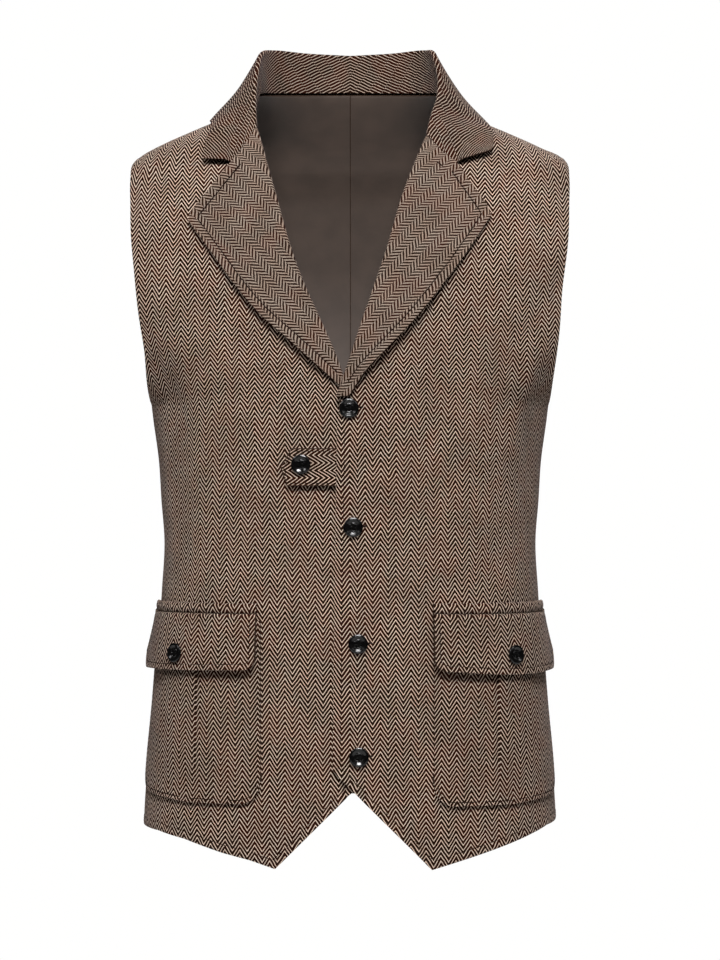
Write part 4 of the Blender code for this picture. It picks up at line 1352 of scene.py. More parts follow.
@dataclass
class Lapel(SidedPiece):
    """A notched lapel, folded back along the roll line, with its topstitched edge."""

    grain_lean: float = 43.0
    rows: int = 110
    fold_steps: int = 10
    gorge_columns: int = 18
    notch_columns: int = 26
    tip_columns: int = 6
    leaf_lift: float = 3.7
    gorge_gap: float = 0.3
    stand_off: dict[Side, float] = by_side(1.8, 4.5)
    stitch_inset: float = 7.2
    edge_puff: float = 0.45
    edge_lift: float = 2.8
    groove: float = 1.7
    wall: float = 1.9
    settle_run: float = 16.0
    tack: dict[Side, tuple[Point, Point]] = by_side(
        points((100.4, -37.8), (94.8, -30.9)), points((76.0, -29.0), (81.0, -33.0)))

    def outline(self) -> Array:
        """Free outline in the front view: up the outer edge, round the tip and along the notch.

        Returns:
            Rows of a width and a height.
        """
        side, pattern = self.side, self.pattern
        edge = along_outline(pattern.lapel_edge[side], 60)
        corner, *tips = outline_array(pattern.notch[side])
        return np.concatenate([edge, tips[::-1][1:], [corner]])

    def flat(self) -> Array:
        """Places in the front view, rows up the roll line: a Coons patch of the four borders.

        Returns:
            A grid of widths and heights.
        """
        side, pattern = self.side, self.pattern
        top = pattern.gorge_height[side] - self.gorge_gap
        heights = np.linspace(pattern.break_height[side], top, self.rows)
        roll = np.stack([pattern.roll_width(side, heights), heights], axis=-1)
        edge = along_outline(pattern.lapel_edge[side], self.rows)
        corner, first, second = outline_array(pattern.notch[side])
        gorge = straight(roll[-1], corner - [0, self.gorge_gap], self.gorge_columns + 1)
        notch = straight(gorge[-1], first, self.notch_columns + 1)[1:]
        tip = straight(first, second, self.tip_columns + 1)[1:]
        top = np.concatenate([gorge, notch, tip])
        low = straight(roll[0], edge[0], len(top))
        across = (run_lengths(top) / run_lengths(top)[-1])[None, :, None]
        up = np.linspace(0, 1, self.rows)[:, None, None]
        sides = roll[:, None] * (1 - across) + edge[:, None] * across
        ends = low[None] * (1 - up) + top[None] * up
        corners = ((roll[0] * (1 - across) + edge[0] * across) * (1 - up)
                   + (roll[-1] * (1 - across) + edge[-1] * across) * up)
        return sides + ends - corners

    def build(self) -> bpy.types.Object:
        """Make the lapel: under the fold, round it, and over the panel to the free edge.

        Returns:
            The new object.
        """
        side, pattern, form = self.side, self.pattern, self.pattern.form
        flat = self.flat()
        heading = unit(flat[:, 1] - flat[:, 0])
        section = pattern.fold_section(pattern.seam_gap, self.fold_steps)
        folded = flat[:, :1] + section[None, :, :1] * heading[:, None]
        leaf = np.linalg.norm(flat - flat[:, :1], axis=-1)
        beyond = 1 - pattern.fold_radius / np.maximum(leaf[:, -1:, None], pattern.fold_radius)
        leaf_flat = folded[:, -1:] + (flat[:, 1:] - flat[:, :1]) * beyond
        place = np.concatenate([folded, leaf_flat], axis=1)
        top_of_fold = section[-1, 1]
        settled = ramp(leaf[:, 1:], pattern.fold_radius, self.settle_run)
        reach = leaf[:, 1:] / leaf[:, -1:]
        low_down = 1 - ramp(np.linspace(0, 1, self.rows), 0.35, 0.95)[:, None]
        stand = self.stand_off[side] * low_down * reach ** 2 * ramp(leaf[:, -1:], 0, 25)
        from_edge = distance_to_path(leaf_flat, self.outline())
        stand = stand + self.edge_lift * (1 - ramp(from_edge, 0, 14)) * ramp(leaf[:, 1:], 4, 24)
        puff = self.edge_puff * (1 - ramp(from_edge, self.stitch_inset - 1.2, self.stitch_inset + 0.4))
        groove = -self.groove * bell(from_edge, self.stitch_inset, 1.0) * ramp(leaf[:, 1:], 3, 9)
        leaf_lift = top_of_fold + (self.leaf_lift - top_of_fold) * settled + stand
        fold_shape = (self.rows, len(section))
        lift = np.concatenate([np.broadcast_to(section[:, 1], fold_shape), leaf_lift], axis=1)
        detail = np.concatenate([np.zeros(fold_shape), puff + groove], axis=1)
        girth = form.girth_at_width(place[..., 0], place[..., 1])
        base = lift + pattern.panel_lift(side, girth, place[..., 1])
        places = form.with_shoulders(form.place(side.value * girth, place[..., 1], base + 0.5 * detail))
        shell = ClothShell(f"cloth_lapel_{side.label}", places, self.grain_of(place, len(section)),
                           side is Side.RIGHT, (self.cloth.material(),), Lay.MIDDLE, self.wall, 0.92)
        item = self.sew(shell, f"lapel_{side.label}", "lapel_cloth", "folded", f"cloth_front_{side.label}")
        on_leaf = GridReading(leaf_flat, places[:, len(section):])
        line = inset_line(self.outline(), self.stitch_inset)[10:-4]
        StitchRow(f"stitches_lapel_{side.label}", *on_leaf.at(line, self.wall / 2), "lapel_cloth",
                  length=2.5, radius=0.56, sunk=0.05).build()
        tack = straight(*outline_array(self.tack[side]), 5)
        total = float(run_lengths(tack)[-1])
        StitchRow(f"tack_lapel_{side.label}", *on_leaf.at(tack, self.wall / 2), "lapel_cloth",
                  total, total, 0.7, 0.1).build()
        return item

    def grain_of(self, place: Array, folded: int) -> Array:
        """Cloth coordinates turned so that the columns run along the outer edge.

        The strip round the fold is unrolled: its places go on past the roll line by the
        length of cloth round the fold.

        Args:
            place: grid of widths and heights.
            folded: columns round the fold.

        Returns:
            Cloth coordinates in metres.
        """
        side, form = self.side, self.pattern.form
        unrolled = place.copy()
        heading = unit(place[:, folded] - place[:, folded - 1])
        around = np.linspace(1, 0, folded)[:-1, None] * (math.pi * self.pattern.fold_radius + 3.0)
        unrolled[:, :folded - 1] = place[:, folded - 1:folded] - around[None] * heading[:, None]
        girth = form.girth_at_width(np.maximum(unrolled[..., 0], -20.0), unrolled[..., 1])
        plain = form.grain(side.value * girth, unrolled[..., 1])
        lean = -side.value * math.radians(self.grain_lean)
        across = plain[..., 0] * math.cos(lean) + plain[..., 1] * math.sin(lean)
        along = -plain[..., 0] * math.sin(lean) + plain[..., 1] * math.cos(lean)
        return np.stack([across, along], axis=-1)


@dataclass(frozen=True)
class Station:
    """A section of the collar: place along it, and its seam, fold and edge places."""

    at: float
    seam: float
    fold: tuple[float, float, float]
    edge: tuple[float, float, float]


def stations(*rows: tuple) -> tuple[Station, ...]:
    """Sections of the collar from rows of their fields."""
    return tuple(Station(*row) for row in rows)


@dataclass
class Collar(SewnPiece):
    """The turned-down collar in one sheet, from gorge seam to gorge seam."""

    rows: int = 110
    fold_steps: int = 10
    gorge_columns: int = 18
    free_columns: int = 24
    wall: float = 1.6
    leaf_lift: float = 3.3
    end_lift: float = 3.5
    leaf_sag: float = 3.6
    lowered: float = 2.5
    end_blend: float = 0.30
    end_stand_off: float = 4.6
    corner_shift: dict[Side, Point] = by_side(Point(-1.9, -2.6), Point(-2.7, -5.2))
    gorge_gap: float = 0.3
    grain_lean: float = 50.0
    stitch_inset: float = 7.0
    settle_run: float = 16.0
    stations: dict[Side, tuple[Station, ...]] = by_side(
        stations((0.00, 0.00, (82.0, -52, 4), (129.0, -60, -22)),
                 (0.12, 0.10, (83.5, -39, 24), (127.5, -52, -10)),
                 (0.24, 0.20, (84.0, -17, 50), (124.5, -40, 1)),
                 (0.36, 0.30, (82.5, 0, 69), (123.5, -22, 10)),
                 (0.48, 0.40, (80.0, 19, 83), (125.0, 4, 16)),
                 (0.64, 0.58, (69.0, 46, 89), (104.0, 52, 20)),
                 (0.82, 0.79, (39.0, 67, 89), (58.0, 84, 29)),
                 (1.00, 1.00, (0.0, 75, 88), (0.0, 93, 34))),
        stations((0.00, 0.00, (69.0, -59, -4), (126.4, -55, -12)),
                 (0.12, 0.10, (73.5, -37, 18), (127.5, -46, -6)),
                 (0.24, 0.20, (78.0, -20, 37), (126.0, -34, 3)),
                 (0.36, 0.30, (79.5, 0, 60), (122.5, -18, 12)),
                 (0.48, 0.40, (76.0, 19, 82), (119.0, 6, 19)),
                 (0.64, 0.58, (67.0, 46, 89), (102.0, 52, 20)),
                 (0.82, 0.79, (38.0, 67, 89), (58.0, 84, 29)),
                 (1.00, 1.00, (0.0, 75, 88), (0.0, 93, 34))))

    def neckline(self, side: Side, share: Array) -> Array:
        """Places along the neck edges of a front and a back, in the middle of their wall.

        Args:
            side: the wearer's side.
            share: places along the neckline, from 0 to 1.

        Returns:
            Places.
        """
        pattern, form = self.pattern, self.pattern.form
        heights = np.linspace(pattern.gorge_height[side], pattern.neck_point.height, 60)
        girth = form.girth_at_width(pattern.edge_width(side, heights, 0.0), heights)
        middle = pattern.wall / 2
        front = form.place(girth, heights, middle + pattern.panel_lift(side, girth, heights))
        across = np.linspace(1, 0, 60)[1:]
        back_heights = pattern.back_neck_height(across)
        back_girth = across * form.quarter_girth(back_heights, Face.BACK)
        back = form.place(back_girth, back_heights, middle, Face.BACK)
        places = np.concatenate([front, back])
        return along_polyline(places, share * run_lengths(places)[-1])

    def half(self, side: Side) -> Array:
        """Middle of the wall of half the collar, rows from the front end to the back's middle.

        Each row is the neck seam, a half circle round the fold's crest, and a leaf that
        sags a parabola below the line to its edge.

        Args:
            side: the wearer's side.

        Returns:
            A grid of places.
        """
        share = np.linspace(0, 1, self.rows)
        table = np.array([(s.at, s.seam, *s.fold, *s.edge) for s in self.stations[side]])
        read = np.stack([smooth_reading(table[:, 0], column, share) for column in table.T[1:]], axis=-1)
        seam, fold, edge = self.neckline(side, read[:, 0]), read[:, 1:4], read[:, 4:]
        lower = self.lowered * ramp(share, 0.1, 0.32)[:, None] * UPWARDS
        fold, edge = fold - lower, edge - lower
        run = unit(np.gradient(fold, axis=0))
        leaf_way = unit(edge - fold - run * np.sum((edge - fold) * run, axis=-1, keepdims=True))
        stand_way = unit(seam - fold - run * np.sum((seam - fold) * run, axis=-1, keepdims=True))
        crest = -unit(leaf_way + stand_way)
        across = unit(np.cross(run, crest))
        across = across * np.sign(np.sum(across * (edge - seam), axis=-1, keepdims=True))
        radius = self.pattern.fold_radius
        turn = np.linspace(0, math.pi, self.fold_steps + 1)[None, :, None]
        centre = (fold - crest * radius)[:, None]
        arc = centre - radius * (np.cos(turn) * across[:, None] - np.sin(turn) * crest[:, None])
        up = np.linspace(0, 1, STAND_ROWS + 1)[None, :-1, None]
        stand = seam[:, None] + (arc[:, :1] - seam[:, None]) * up
        columns = self.gorge_columns + self.free_columns
        along = np.linspace(0, 1, columns + 1)[None, 1:, None]
        sag = self.leaf_sag * (across + crest)[:, None] * 2 * along * (1 - along)
        leaf = arc[:, -1:] * (1 - along) + edge[:, None] * along - sag
        grid = np.concatenate([stand, arc, self.pattern.form.rest_on(leaf, self.leaf_lift)], axis=1)
        weight = (1 - ramp(share, 0, self.end_blend))[:, None, None]
        grid = grid + weight * (self.end(side) - grid[0])[None]
        start = STAND_ROWS + self.fold_steps + 1
        grid[:, start:] = self.pattern.form.rest_on(grid[:, start:], self.leaf_lift)
        return grid * [side.value, 1, 1]

    def end(self, side: Side) -> Array:
        """The collar's end row: round the fold, along the gorge seam, then to its free corner.

        Args:
            side: the wearer's side.

        Returns:
            A row of places.
        """
        pattern, form = self.pattern, self.pattern.form
        corner = outline_array(pattern.notch[side])[0]
        height = pattern.gorge_height[side] + self.gorge_gap
        roll = np.array([float(pattern.roll_width(side, np.array(height))), height])
        heading = unit(corner - roll)
        section = pattern.fold_section(self.gorge_gap, self.fold_steps)
        folded = roll + section[:, :1] * heading
        first = folded[:1] + (folded[1:2] - folded[:1]) * np.linspace(0, 1, STAND_ROWS + 1)[:-1, None]
        gorge = straight(roll, corner + [0, self.gorge_gap], self.gorge_columns + 1)[1:]
        free_end = outline_array([pattern.collar_corner[side], self.corner_shift[side]]).sum(axis=0)
        free = straight(gorge[-1], free_end, self.free_columns + 1)[1:]
        place = np.concatenate([first, folded[1:], gorge, free])
        rise = section[-1, 1]
        settled = ramp(np.linalg.norm(gorge - roll, axis=-1), 0, self.settle_run)
        out = np.linalg.norm(free - gorge[-1], axis=-1)
        free_lift = self.end_lift + self.end_stand_off * ramp(out, 0, 7)
        lift = np.concatenate([np.full(STAND_ROWS, section[0, 1]), section[1:, 1],
                               rise + (self.end_lift - rise) * settled, free_lift])
        girth = form.girth_at_width(place[:, 0], place[:, 1])
        return form.place(girth, place[:, 1], lift + pattern.panel_lift(side, girth, place[:, 1]))

    def grain_of(self, places: Array) -> Array:
        """Cloth coordinates on the bias, mirrored at the middle of the back.

        The distance from the middle row and the length down from the crest are turned by
        the lean, so that the columns run down and away from the fold.

        Args:
            places: grid of the whole collar.

        Returns:
            Cloth coordinates in metres.
        """
        crest = STAND_ROWS + self.fold_steps // 2
        leaf_middle = STAND_ROWS + self.fold_steps + 1 + (self.gorge_columns + self.free_columns) // 2
        around = run_lengths(places[:, leaf_middle])
        from_middle = np.abs(around - around[self.rows - 1])[:, None]
        steps = np.linalg.norm(np.diff(places, axis=1), axis=-1)
        down = np.concatenate([np.zeros((len(places), 1)), np.cumsum(steps, axis=1)], axis=1)
        down = down - down[:, crest:crest + 1]
        lean = math.radians(self.grain_lean)
        along = from_middle * math.cos(lean) + down * math.sin(lean)
        across = down * math.cos(lean) - from_middle * math.sin(lean)
        return np.stack([across, along], axis=-1) * MM

    def stitch_line(self, places: Array) -> tuple[Array, Array]:
        """Line of stitches inside the free edge: the leaf's rows read at the inset from their ends.

        Args:
            places: grid of the whole collar.

        Returns:
            Places and their normals.
        """
        leaf = places[:, STAND_ROWS + self.fold_steps:]
        around = np.array([self.stitch_inset - 0.3, self.stitch_inset, self.stitch_inset + 0.3])
        line = np.array([along_polyline(row[::-1], around) for row in leaf])
        out = unit(np.cross(np.gradient(line[:, 1], axis=0), line[:, 2] - line[:, 0]))
        return line[:, 1] + out * self.wall / 2, out

    def build(self) -> bpy.types.Object:
        """Make the collar, its cloth laid on the bias.

        Returns:
            The new object.
        """
        right, left = self.half(Side.RIGHT), self.half(Side.LEFT)
        middle = 0.5 * (right[-1:] + left[-1:])
        places = np.concatenate([right[:-1], middle, left[-2::-1]])
        places = self.pattern.form.with_shoulders(places)
        shell = ClothShell("cloth_collar", places, self.grain_of(places), False, (self.cloth.material(),),
                           Lay.MIDDLE, wall=self.wall)
        item = self.sew(shell, "collar", "collar_cloth", "folded",
                        "cloth_front_right", "cloth_front_left", "cloth_back_right", "cloth_back_left")
        StitchRow("stitches_collar", *self.stitch_line(places), "collar_cloth").build()
        return item


# ---------------------------------------------------------------- pockets, flaps and tab

def rounded_corner_rise(girth: Array, inner: float, outer: float, inner_round: float,
                        outer_round: float) -> Array:
    """Rise of a lower edge at its rounded corners: a quarter circle at each end.

    Args:
        girth: girths on the form.
        inner: girth of the inner end.
        outer: girth of the outer end.
        inner_round: radius of the inner corner.
        outer_round: radius of the outer corner.

    Returns:
        A rise for each girth.
    """
    rise = np.zeros(np.shape(girth))
    for gap, radius in ((girth - inner, inner_round), (outer - girth, outer_round)):
        into = np.clip(radius - gap, 0, radius)
        rise = rise + radius - np.sqrt(np.maximum(radius ** 2 - into ** 2, 0))
    return rise


def corner_columns(inner: float, outer: float, inner_round: float, outer_round: float,
                   extra: Sequence[float], step: float) -> Array:
    """Girths of the columns: an even step, closer round the corners and at the given places.

    Args:
        inner: girth of the inner end.
        outer: girth of the outer end.
        inner_round: radius of the inner corner.
        outer_round: radius of the outer corner.
        extra: girths that must have a column.
        step: spacing of the even columns.

    Returns:
        Rising girths.
    """
    turn = np.linspace(0, math.pi / 2, CORNER_COLUMNS)
    near_inner = inner + inner_round * (1 - np.cos(turn))
    near_outer = outer - outer_round * (1 - np.cos(turn))
    even = np.arange(inner + inner_round + step, outer - outer_round - step / 2, step)
    even = np.array([g for g in even if all(abs(g - e) > 0.25 * step for e in extra)])
    return np.array(sorted({*near_inner, *near_outer, *even, *extra}))


@dataclass
class PocketPiece(SidedPiece):
    """A piece of a pocket, between two girths of a front, with its top edge level."""

    inner: float
    outer: float

    def border(self, girth: Array, low: Array, top: float) -> Array:
        """Outline of the free edges: down one end, along the lower edge and up the other."""
        past = top + BORDER_PAST
        return np.concatenate([[[self.inner, past]], np.stack([girth, low], axis=-1), [[self.outer, past]]])


@dataclass
class PatchPocket(PocketPiece):
    """A patch pocket with rounded lower corners and a box pleat down its middle."""

    bottom: float
    outer_bottom: float
    pleat_in: float
    pleat_out: float
    top: float = -428.0
    inner_round: float = 19.0
    outer_round: float = 16.0
    lay_gap: float = 0.55
    wall: float = 1.6
    pleat_rise: float = 1.8
    pleat_slope: float = 0.35
    puff: float = 0.6
    groove: float = 0.35
    bottom_lift: float = 0.9
    rows: int = 100
    column_step: float = 1.6
    stitch_inset: float = 3.4
    grain_shift: float = 0.0013

    def pleat_shape(self, girth: Array) -> Array:
        """Height of the pleat over the girth: a flat step with steep sides and a crease before it.

        Args:
            girth: girths on the form.

        Returns:
            Heights from 0 to 1.
        """
        slope = self.pleat_slope
        pleat = ramp(girth, self.pleat_in, self.pleat_in + slope)
        pleat = pleat * (1 - ramp(girth, self.pleat_out - slope, self.pleat_out))
        return pleat - 0.3 * bell(girth, self.pleat_in - 0.7, 0.7)

    def build(self) -> bpy.types.Object:
        """Make the pocket: front places raised by the pleat, the puff and the stitched edge.

        Returns:
            The new object.
        """
        pattern, label = self.pattern, self.side.label
        steps = [self.pleat_slope * k / 3 for k in range(-9, 7)]
        extra = [self.pleat_in + step for step in steps] + [self.pleat_out - step for step in steps]
        ends = (self.inner, self.outer, self.inner_round, self.outer_round)
        girth = corner_columns(*ends, extra, self.column_step)
        share = (girth - self.inner) / (self.outer - self.inner)
        bottom = self.bottom + (self.outer_bottom - self.bottom) * np.maximum(share - 0.5, 0) * 2
        low = bottom + rounded_corner_rise(girth, *ends)
        up = np.linspace(0, 1, self.rows)[:, None]
        height = low + (self.top - low) * up
        rise = self.pleat_rise * self.pleat_shape(girth) * ramp(up, 0.08, 0.26)
        rise = rise * (1 - 0.8 * ramp(up, 0.72, 1.0))
        puff = self.puff * np.sin(math.pi * share) ** 2 * np.sin(math.pi * up * 0.9)
        grid = np.broadcast_to(girth, height.shape)
        flat = np.stack([grid, height], axis=-1)
        outline = self.border(girth, low, self.top)
        groove = -self.groove * bell(distance_to_path(flat, outline), self.stitch_inset, 0.7)
        edge = self.bottom_lift * (1 - ramp(height - low, 2, 9)) * (1 - ramp(share, 0.70, 0.96))
        lift = pattern.wall + self.lay_gap + self.wall + rise + puff + edge + groove
        places, grain = self.lay(grid, height, lift + pattern.panel_lift(self.side, grid, height))
        shell = ClothShell(f"cloth_pocket_{label}", places, grain + [0.0, self.grain_shift],
                           self.side is Side.RIGHT, (self.cloth.material(),), Lay.OUTER_FACE, self.wall)
        item = self.sew(shell, f"pocket_{label}", "trim_cloth", "stretched", f"cloth_front_{label}")
        line = inset_line(outline[1:-1], self.stitch_inset)
        StitchRow(f"stitches_pocket_{label}", *GridReading(flat, places).at(line, 0.0), "trim_cloth").build()
        return item


@dataclass
class PocketFlap(PocketPiece):
    """A pocket flap that hangs from its ridge-like seam and stands off the pocket."""

    bottom: float
    bottom_middle: float
    outer_bottom: float
    top: float = -414.0
    outer_flare: tuple[float, float] = (-1.6, 0.6)
    least_lift: float = 3.3
    wall: float = 1.7
    rounding: float = 10.0
    outer_rounding: float = 17.0
    section: tuple[tuple[float, float], ...] = (
        (0.0, 3.9), (0.014, 5.7), (0.04, 6.3), (0.10, 6.2), (0.122, 5.6), (0.136, 4.2), (0.15, 4.2),
        (0.168, 6.0), (0.24, 7.0), (0.45, 8.2), (0.70, 9.4), (1.0, 10.6))
    rows: int = 90
    column_step: float = 1.5
    stitch_inset: float = 5.0
    seam_depth: float = 12.0
    edge_detail: float = 0.4
    grain_shift: float = -0.0012

    def build(self) -> bpy.types.Object:
        """Make the flap: its section read down the height, flared at the outer corner.

        Returns:
            The new object.
        """
        label, inset = self.side.label, self.stitch_inset
        ends = (self.inner, self.outer, self.rounding, self.outer_rounding)
        girth = corner_columns(*ends, [], self.column_step)
        share = (girth - self.inner) / (self.outer - self.inner)
        low = smooth_reading([0, 0.5, 1], [self.bottom, self.bottom_middle, self.outer_bottom], share)
        low = low + rounded_corner_rise(girth, *ends)
        down = np.linspace(0, 1, self.rows)[:, None]
        lift = smooth_reading(*np.array(self.section).T, down)
        height = self.top + (low - self.top) * down
        inward, outward = self.outer_flare
        flare = (inward + (outward - inward) * down ** 2) * ramp(share, 0.75, 1.0)
        grid = np.broadcast_to(girth, height.shape)
        flat = np.stack([grid, height], axis=-1)
        outline = self.border(girth, low, self.top)
        from_edge = distance_to_path(flat, outline)
        detail = self.edge_detail * (1 - ramp(from_edge, inset - 1, inset))
        detail = detail - self.edge_detail * bell(from_edge, inset, 0.8)
        lift = np.maximum(lift + flare, self.least_lift) + 0.5 * detail
        places, grain = self.lay(grid, height, lift + self.pattern.panel_lift(self.side, grid, height))
        shell = ClothShell(f"cloth_flap_{label}", places[::-1], (grain + [0.0, self.grain_shift])[::-1],
                           self.side is Side.RIGHT, (self.cloth.material(),), Lay.MIDDLE, self.wall, 0.82)
        item = self.sew(shell, f"flap_{label}", "trim_cloth", "hung", f"cloth_front_{label}")
        line = inset_line(outline, inset)
        line = line[line[:, 1] < self.top - self.seam_depth]
        on_flap = GridReading(flat, places)
        StitchRow(f"stitches_flap_{label}", *on_flap.at(line, self.wall / 2), "trim_cloth").build()
        return item


@dataclass
class ChestTab(SidedPiece):
    """The five-sided tab that comes from under the front edge and points to the side."""

    ends: tuple[Point, ...] = points((53.4, -311.2), (59.5, -294.8), (49.8, -278.4))
    tucked_edge: float = 7.0
    half_rows: int = 14
    columns: int = 40
    clearance: float = 0.3
    edge_lift: float = 1.9
    groove: float = 0.3
    stitch_inset: float = 2.6
    plain_end: float = 6.0

    def build(self) -> bpy.types.Object:
        """Make the tab: rows from the bottom up, columns out to the pointed end.

        Returns:
            The new object.
        """
        wall, tucked = self.pattern.wall, self.tucked_edge
        ends = outline_array(self.ends)
        low, middle, high = ends[:, 1]
        rows = np.concatenate([np.linspace(low, middle, self.half_rows + 1),
                               np.linspace(middle, high, self.half_rows + 1)[1:]])
        reach = np.interp(rows, ends[:, 1], ends[:, 0])[:, None]
        girth = tucked + (reach - tucked) * np.linspace(0, 1, self.columns + 1)[None]
        height = np.broadcast_to(rows[:, None], girth.shape)
        flat = np.stack([girth, height], axis=-1)
        border = np.concatenate([[[tucked - BORDER_PAST, low]], ends, [[tucked - BORDER_PAST, high]]])
        groove = -self.groove * bell(distance_to_path(flat, border), self.stitch_inset, 0.8)
        edge = self.edge_lift * (1 - ramp(height - low, 0, 14))
        places, plain = self.lay(girth, height, wall + self.clearance + edge + 0.6 * groove)
        shell = ClothShell("cloth_tab", places, plain[..., ::-1], True, (self.cloth.material(),),
                           edge_rounding=0.98)
        item = self.sew(shell, "chest_tab", "trim_cloth", "stretched", "cloth_front_right")
        line = inset_line(border, self.stitch_inset)
        line = line[line[:, 0] > tucked + self.plain_end]
        StitchRow("stitches_tab", *GridReading(flat, places).at(line, wall), "trim_cloth").build()
        return item


# ---------------------------------------------------------------- buttons

@dataclass(frozen=True)
class ButtonSeat:
    """Where a button is sewn: its node, its place on the form and its turn."""

    node: str
    girth: float
    height: float
    lift: float
    turn: float


@dataclass
class SewnButton:
    """A polished button with a raised rim, a dished middle and four holes."""

    pattern: Pattern
    seat: ButtonSeat
    radius: float = 8.5
    rings: int = 58
    spokes: int = 96
    edge_girth: float = -20.0
    hole_radius: float = 0.95
    hole_offset: float = 1.75
    hole_depth: float = 1.45
    top_profile: tuple[tuple[float, float], ...] = (
        (0.0, 1.95), (2.9, 1.95), (3.5, 2.1), (3.9, 1.8), (4.3, 1.65), (5.0, 1.95), (5.9, 2.42), (6.5, 2.75),
        (6.9, 2.85), (7.3, 2.75), (8.0, 2.38), (8.4, 2.0), (8.5, 1.6))
    under_profile: tuple[tuple[float, float], ...] = (
        (8.5, 1.6), (8.3, 1.0), (7.4, 0.4), (5.8, 0.0), (0.0, 0.0))

    def frame_of_seat(self) -> tuple[Array, Array, Array, Array]:
        """Middle of the button's underside, and its right, up and outward directions.

        Returns:
            The middle, and the three directions.
        """
        seat, radius = self.seat, self.radius
        side = Side.LEFT if seat.girth > self.edge_girth else Side.RIGHT
        lift = seat.lift + self.pattern.panel_lift(side, np.array(seat.girth), np.array(seat.height))
        steps = np.array([(0, 0), (radius, 0), (-radius, 0), (0, radius), (0, -radius)])
        around = self.pattern.form.place(seat.girth + steps[:, 0], seat.height + steps[:, 1], lift)
        out = unit(np.cross(around[1] - around[2], around[3] - around[4]))
        right = unit(np.cross(around[3] - around[4], out))
        return around[0], right, np.cross(out, right), out

    def disc(self) -> tuple[Array, NDArray[np.int64]]:
        """Points and quads of the turned disc, its top pierced by four round-edged holes.

        The height over the top is the profile read by radius, less a steep well at each hole.

        Returns:
            Points round the button's own middle, and quads.
        """
        top, under = np.array(self.top_profile), np.array(self.under_profile)
        r_top = np.concatenate([np.linspace(0.05, 3.2, 22), np.linspace(3.3, self.radius, self.rings - 22)])
        under_run = run_lengths(under)
        low = along_polyline(under, np.linspace(0, under_run[-1], UNDER_RINGS)[1:-1])
        radii = np.concatenate([r_top, low[:, 0], [0.05]])
        rises = np.concatenate([smooth_reading(top[:, 0], top[:, 1], r_top), low[:, 1], [0.0]])
        turn = np.linspace(0, 2 * math.pi, self.spokes, endpoint=False)[None]
        across, up = radii[:, None] * np.cos(turn), radii[:, None] * np.sin(turn)
        wells = np.zeros(across.shape)
        for a, b in ((-1, -1), (-1, 1), (1, -1), (1, 1)):
            gap = np.hypot(across - a * self.hole_offset, up - b * self.hole_offset)
            wells = np.maximum(wells, 1 - ramp(gap, self.hole_radius * 0.72, self.hole_radius * 1.12))
        wells[len(r_top):] = 0
        out = rises[:, None] - self.hole_depth * wells
        quads = quads_of_ring(*across.shape)[:, [0, 3, 2, 1]]
        return np.stack([across, up, out], axis=-1).reshape(-1, 3), quads

    def build(self) -> bpy.types.Object:
        """Make the button in place on its seat, its two small poles closed.

        Returns:
            The new object.
        """
        local, quads = self.disc()
        middle, right, up, out = self.frame_of_seat()
        turn = math.radians(self.seat.turn)
        first = right * math.cos(turn) + up * math.sin(turn)
        second = up * math.cos(turn) - right * math.sin(turn)
        places = middle + local[:, :1] * first + local[:, 1:2] * second + local[:, 2:] * out
        last = len(places) - self.spokes
        faces = quads.tolist() + [list(range(self.spokes)), list(range(len(places) - 1, last - 1, -1))]
        mesh = new_mesh(self.seat.node, places, faces)
        item = new_object(f"polished_{self.seat.node}", mesh, (PolishedButton().material(),))
        return settle(item, [self.seat.node])


# ---------------------------------------------------------------- studio

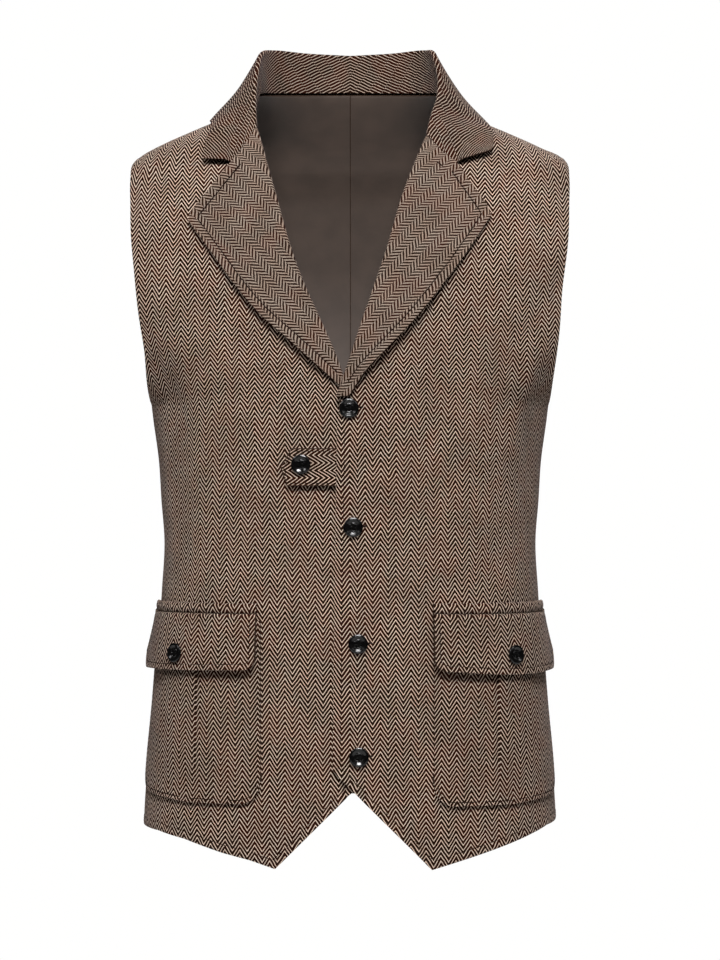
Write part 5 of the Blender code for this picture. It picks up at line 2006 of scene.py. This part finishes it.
@dataclass
class Studio:
    """Pale round floor, soft lights and the camera at the photograph's place."""

    camera_place: tuple[float, float, float] = (0.009, -2.7, -0.306)
    lens: float = 112.5
    floor_height: float = -1.05
    floor_radius: float = 1.25
    floor_corners: int = 128
    world_strength: float = 0.05

    def build_floor(self) -> None:
        """A pale round floor below the garment, on a circle of corners."""
        turn = np.linspace(0, 2 * math.pi, self.floor_corners, endpoint=False)
        rim = np.stack([np.cos(turn), np.sin(turn)], axis=-1) * self.floor_radius
        corners = np.column_stack([rim, np.full(self.floor_corners, self.floor_height)])
        mesh = bpy.data.meshes.new("floor")
        mesh.from_pydata(corners.tolist(), [], [list(range(self.floor_corners))])
        new_object("floor", mesh, (PaintedFloor().material(),))

    def add_light(self, name: str, place: tuple[float, float, float], size: tuple[float, float],
                  power: float) -> None:
        """An oblong soft light that looks at the chest.

        Args:
            name: name of the new thing.
            place: its place in metres.
            size: its width and height in metres.
            power: its power in watts.
        """
        lamp = bpy.data.lights.new(name, "AREA")
        lamp.shape = "RECTANGLE"
        lamp.size, lamp.size_y = size
        lamp.energy = power
        item = bpy.data.objects.new(name, lamp)
        item.location = place
        item.rotation_euler = (Vector((0, 0, -0.25)) - Vector(place)).to_track_quat("-Z", "Y").to_euler()
        bpy.context.scene.collection.objects.link(item)

    def build(self) -> None:
        """Set the world, the floor, the lights and the camera."""
        world = bpy.data.worlds.new("studio")
        world.use_nodes = True
        tree = world.node_tree
        seen, around = tree.nodes["Background"], tree.nodes.new("ShaderNodeBackground")
        seen.inputs["Color"].default_value = around.inputs["Color"].default_value = (1.0, 1.0, 0.995, 1.0)
        seen.inputs["Strength"].default_value = 1.0
        around.inputs["Strength"].default_value = self.world_strength
        choice = tree.nodes.new("ShaderNodeMixShader")
        tree.links.new(tree.nodes.new("ShaderNodeLightPath").outputs["Is Camera Ray"], choice.inputs[0])
        tree.links.new(around.outputs[0], choice.inputs[1])
        tree.links.new(seen.outputs[0], choice.inputs[2])
        tree.links.new(choice.outputs[0], tree.nodes["World Output"].inputs["Surface"])
        bpy.context.scene.world = world
        bpy.context.scene.view_settings.view_transform = "Standard"
        self.build_floor()
        self.add_light("key", (0.10, -2.20, 1.82), (1.4, 0.36), 132.0)
        self.add_light("side_right", (-1.9, -1.3, 1.3), (0.5, 0.8), 15.0)
        self.add_light("side_left", (1.9, -1.3, 1.3), (0.5, 0.8), 9.0)
        self.add_light("back", (0.5, 2.4, 1.7), (2.2, 0.8), 90.0)
        camera = bpy.data.cameras.new("camera")
        camera.lens = self.lens
        camera.sensor_width = 36.0
        item = bpy.data.objects.new("camera", camera)
        item.location = self.camera_place
        item.rotation_euler = (math.pi / 2, 0, 0)
        bpy.context.scene.collection.objects.link(item)
        bpy.context.scene.camera = item


def main() -> None:
    """Build the studio and every piece of the waistcoat, in order."""
    Studio().build()
    pattern = Pattern(WornForm())
    cloth = HerringboneCloth("herringbone_cloth")
    lapel_cloth = HerringboneCloth("herringbone_lapel", half_column=0.0062, repeat=0.0038, leg_repeats=1.63,
                                   broken=0.5, unevenness=2.2, step=(-0.70, 1.95), span=(0.0, 0.56))
    # The collar's copy of the cloth lays the weave on the bias, and its lighter yarn is held darker than on the
    # fronts (span up to 0.70): painted shade standing in for the collar's shading near the neck.
    collar_cloth = HerringboneCloth("herringbone_collar", Weave.LEANING, half_column=0.0130, repeat=0.0029,
                                    leg_repeats=1.41, broken=0.28, step=(0.55, 1.10), span=(0.0, 0.70))
    trim_cloth = HerringboneCloth("herringbone_trim", span=(0.0, 0.9))
    for side in Side:
        FrontPanel(pattern, cloth, Cut(0.262, 0.70, 0.138), side).build()
        BackPanel(pattern, cloth, Cut(0.255, 0.70, 0.146), side).build()
        Lapel(pattern, lapel_cloth, Cut(0.10, 0.26, 0.0132), side).build()
    Collar(pattern, collar_cloth, Cut(0.10, 0.56, 0.040)).build()
    patch = (pattern, trim_cloth, Cut(0.150, 0.163, 0.0238))
    PatchPocket(*patch, Side.RIGHT, 77.0, 213.0, -587.0, -580.0, 136.0, 177.0).build()
    PatchPocket(*patch, Side.LEFT, 72.8, 213.0, -589.0, -583.0, 131.0, 171.0).build()
    flap = (pattern, trim_cloth, Cut(0.150, 0.071, 0.0101))
    PocketFlap(*flap, Side.RIGHT, 80.0, 220.0, -470.5, -472.7, -474.0).build()
    PocketFlap(*flap, Side.LEFT, 71.8, 220.0, -471.0, -476.5, -474.0).build()
    ChestTab(pattern, trim_cloth, Cut(0.053, 0.035, 0.0017), Side.RIGHT).build()
    on_cloth, on_tab, on_flap = 2.9, 5.2, 11.2
    front_seats = (
        ButtonSeat("button_front_1", -0.4, -244.0, on_cloth, 8.0),
        ButtonSeat("button_front_2", 3.0, -346.6, on_cloth, -14.0),
        ButtonSeat("button_front_3", 7.3, -447.6, on_cloth, 21.0),
        ButtonSeat("button_front_4", 8.1, -545.2, on_cloth, 3.0),
    )
    for seat in (
        *front_seats,
        ButtonSeat("button_tab", -41.5, -292.2, on_tab, 12.0),
        ButtonSeat("button_flap_right", -154.2, -457.8, on_flap, 30.0),
        ButtonSeat("button_flap_left", 144.4, -459.1, on_flap, -8.0),
    ):
        SewnButton(pattern, seat).build()
    for number, seat in enumerate(front_seats, 1):
        raised = pattern.panel_lift(Side.LEFT, np.array(seat.girth), np.array(seat.height))
        lift = pattern.wall + float(raised)
        ThreadBar(f"buttonhole_end_{number}", pattern.form, Point(seat.girth + 8.2, seat.height + 0.6),
                  Point(seat.girth + 12.2, seat.height + 1.0), lift, "cloth", 0.8).build()


if __name__ == "__main__":
    main()
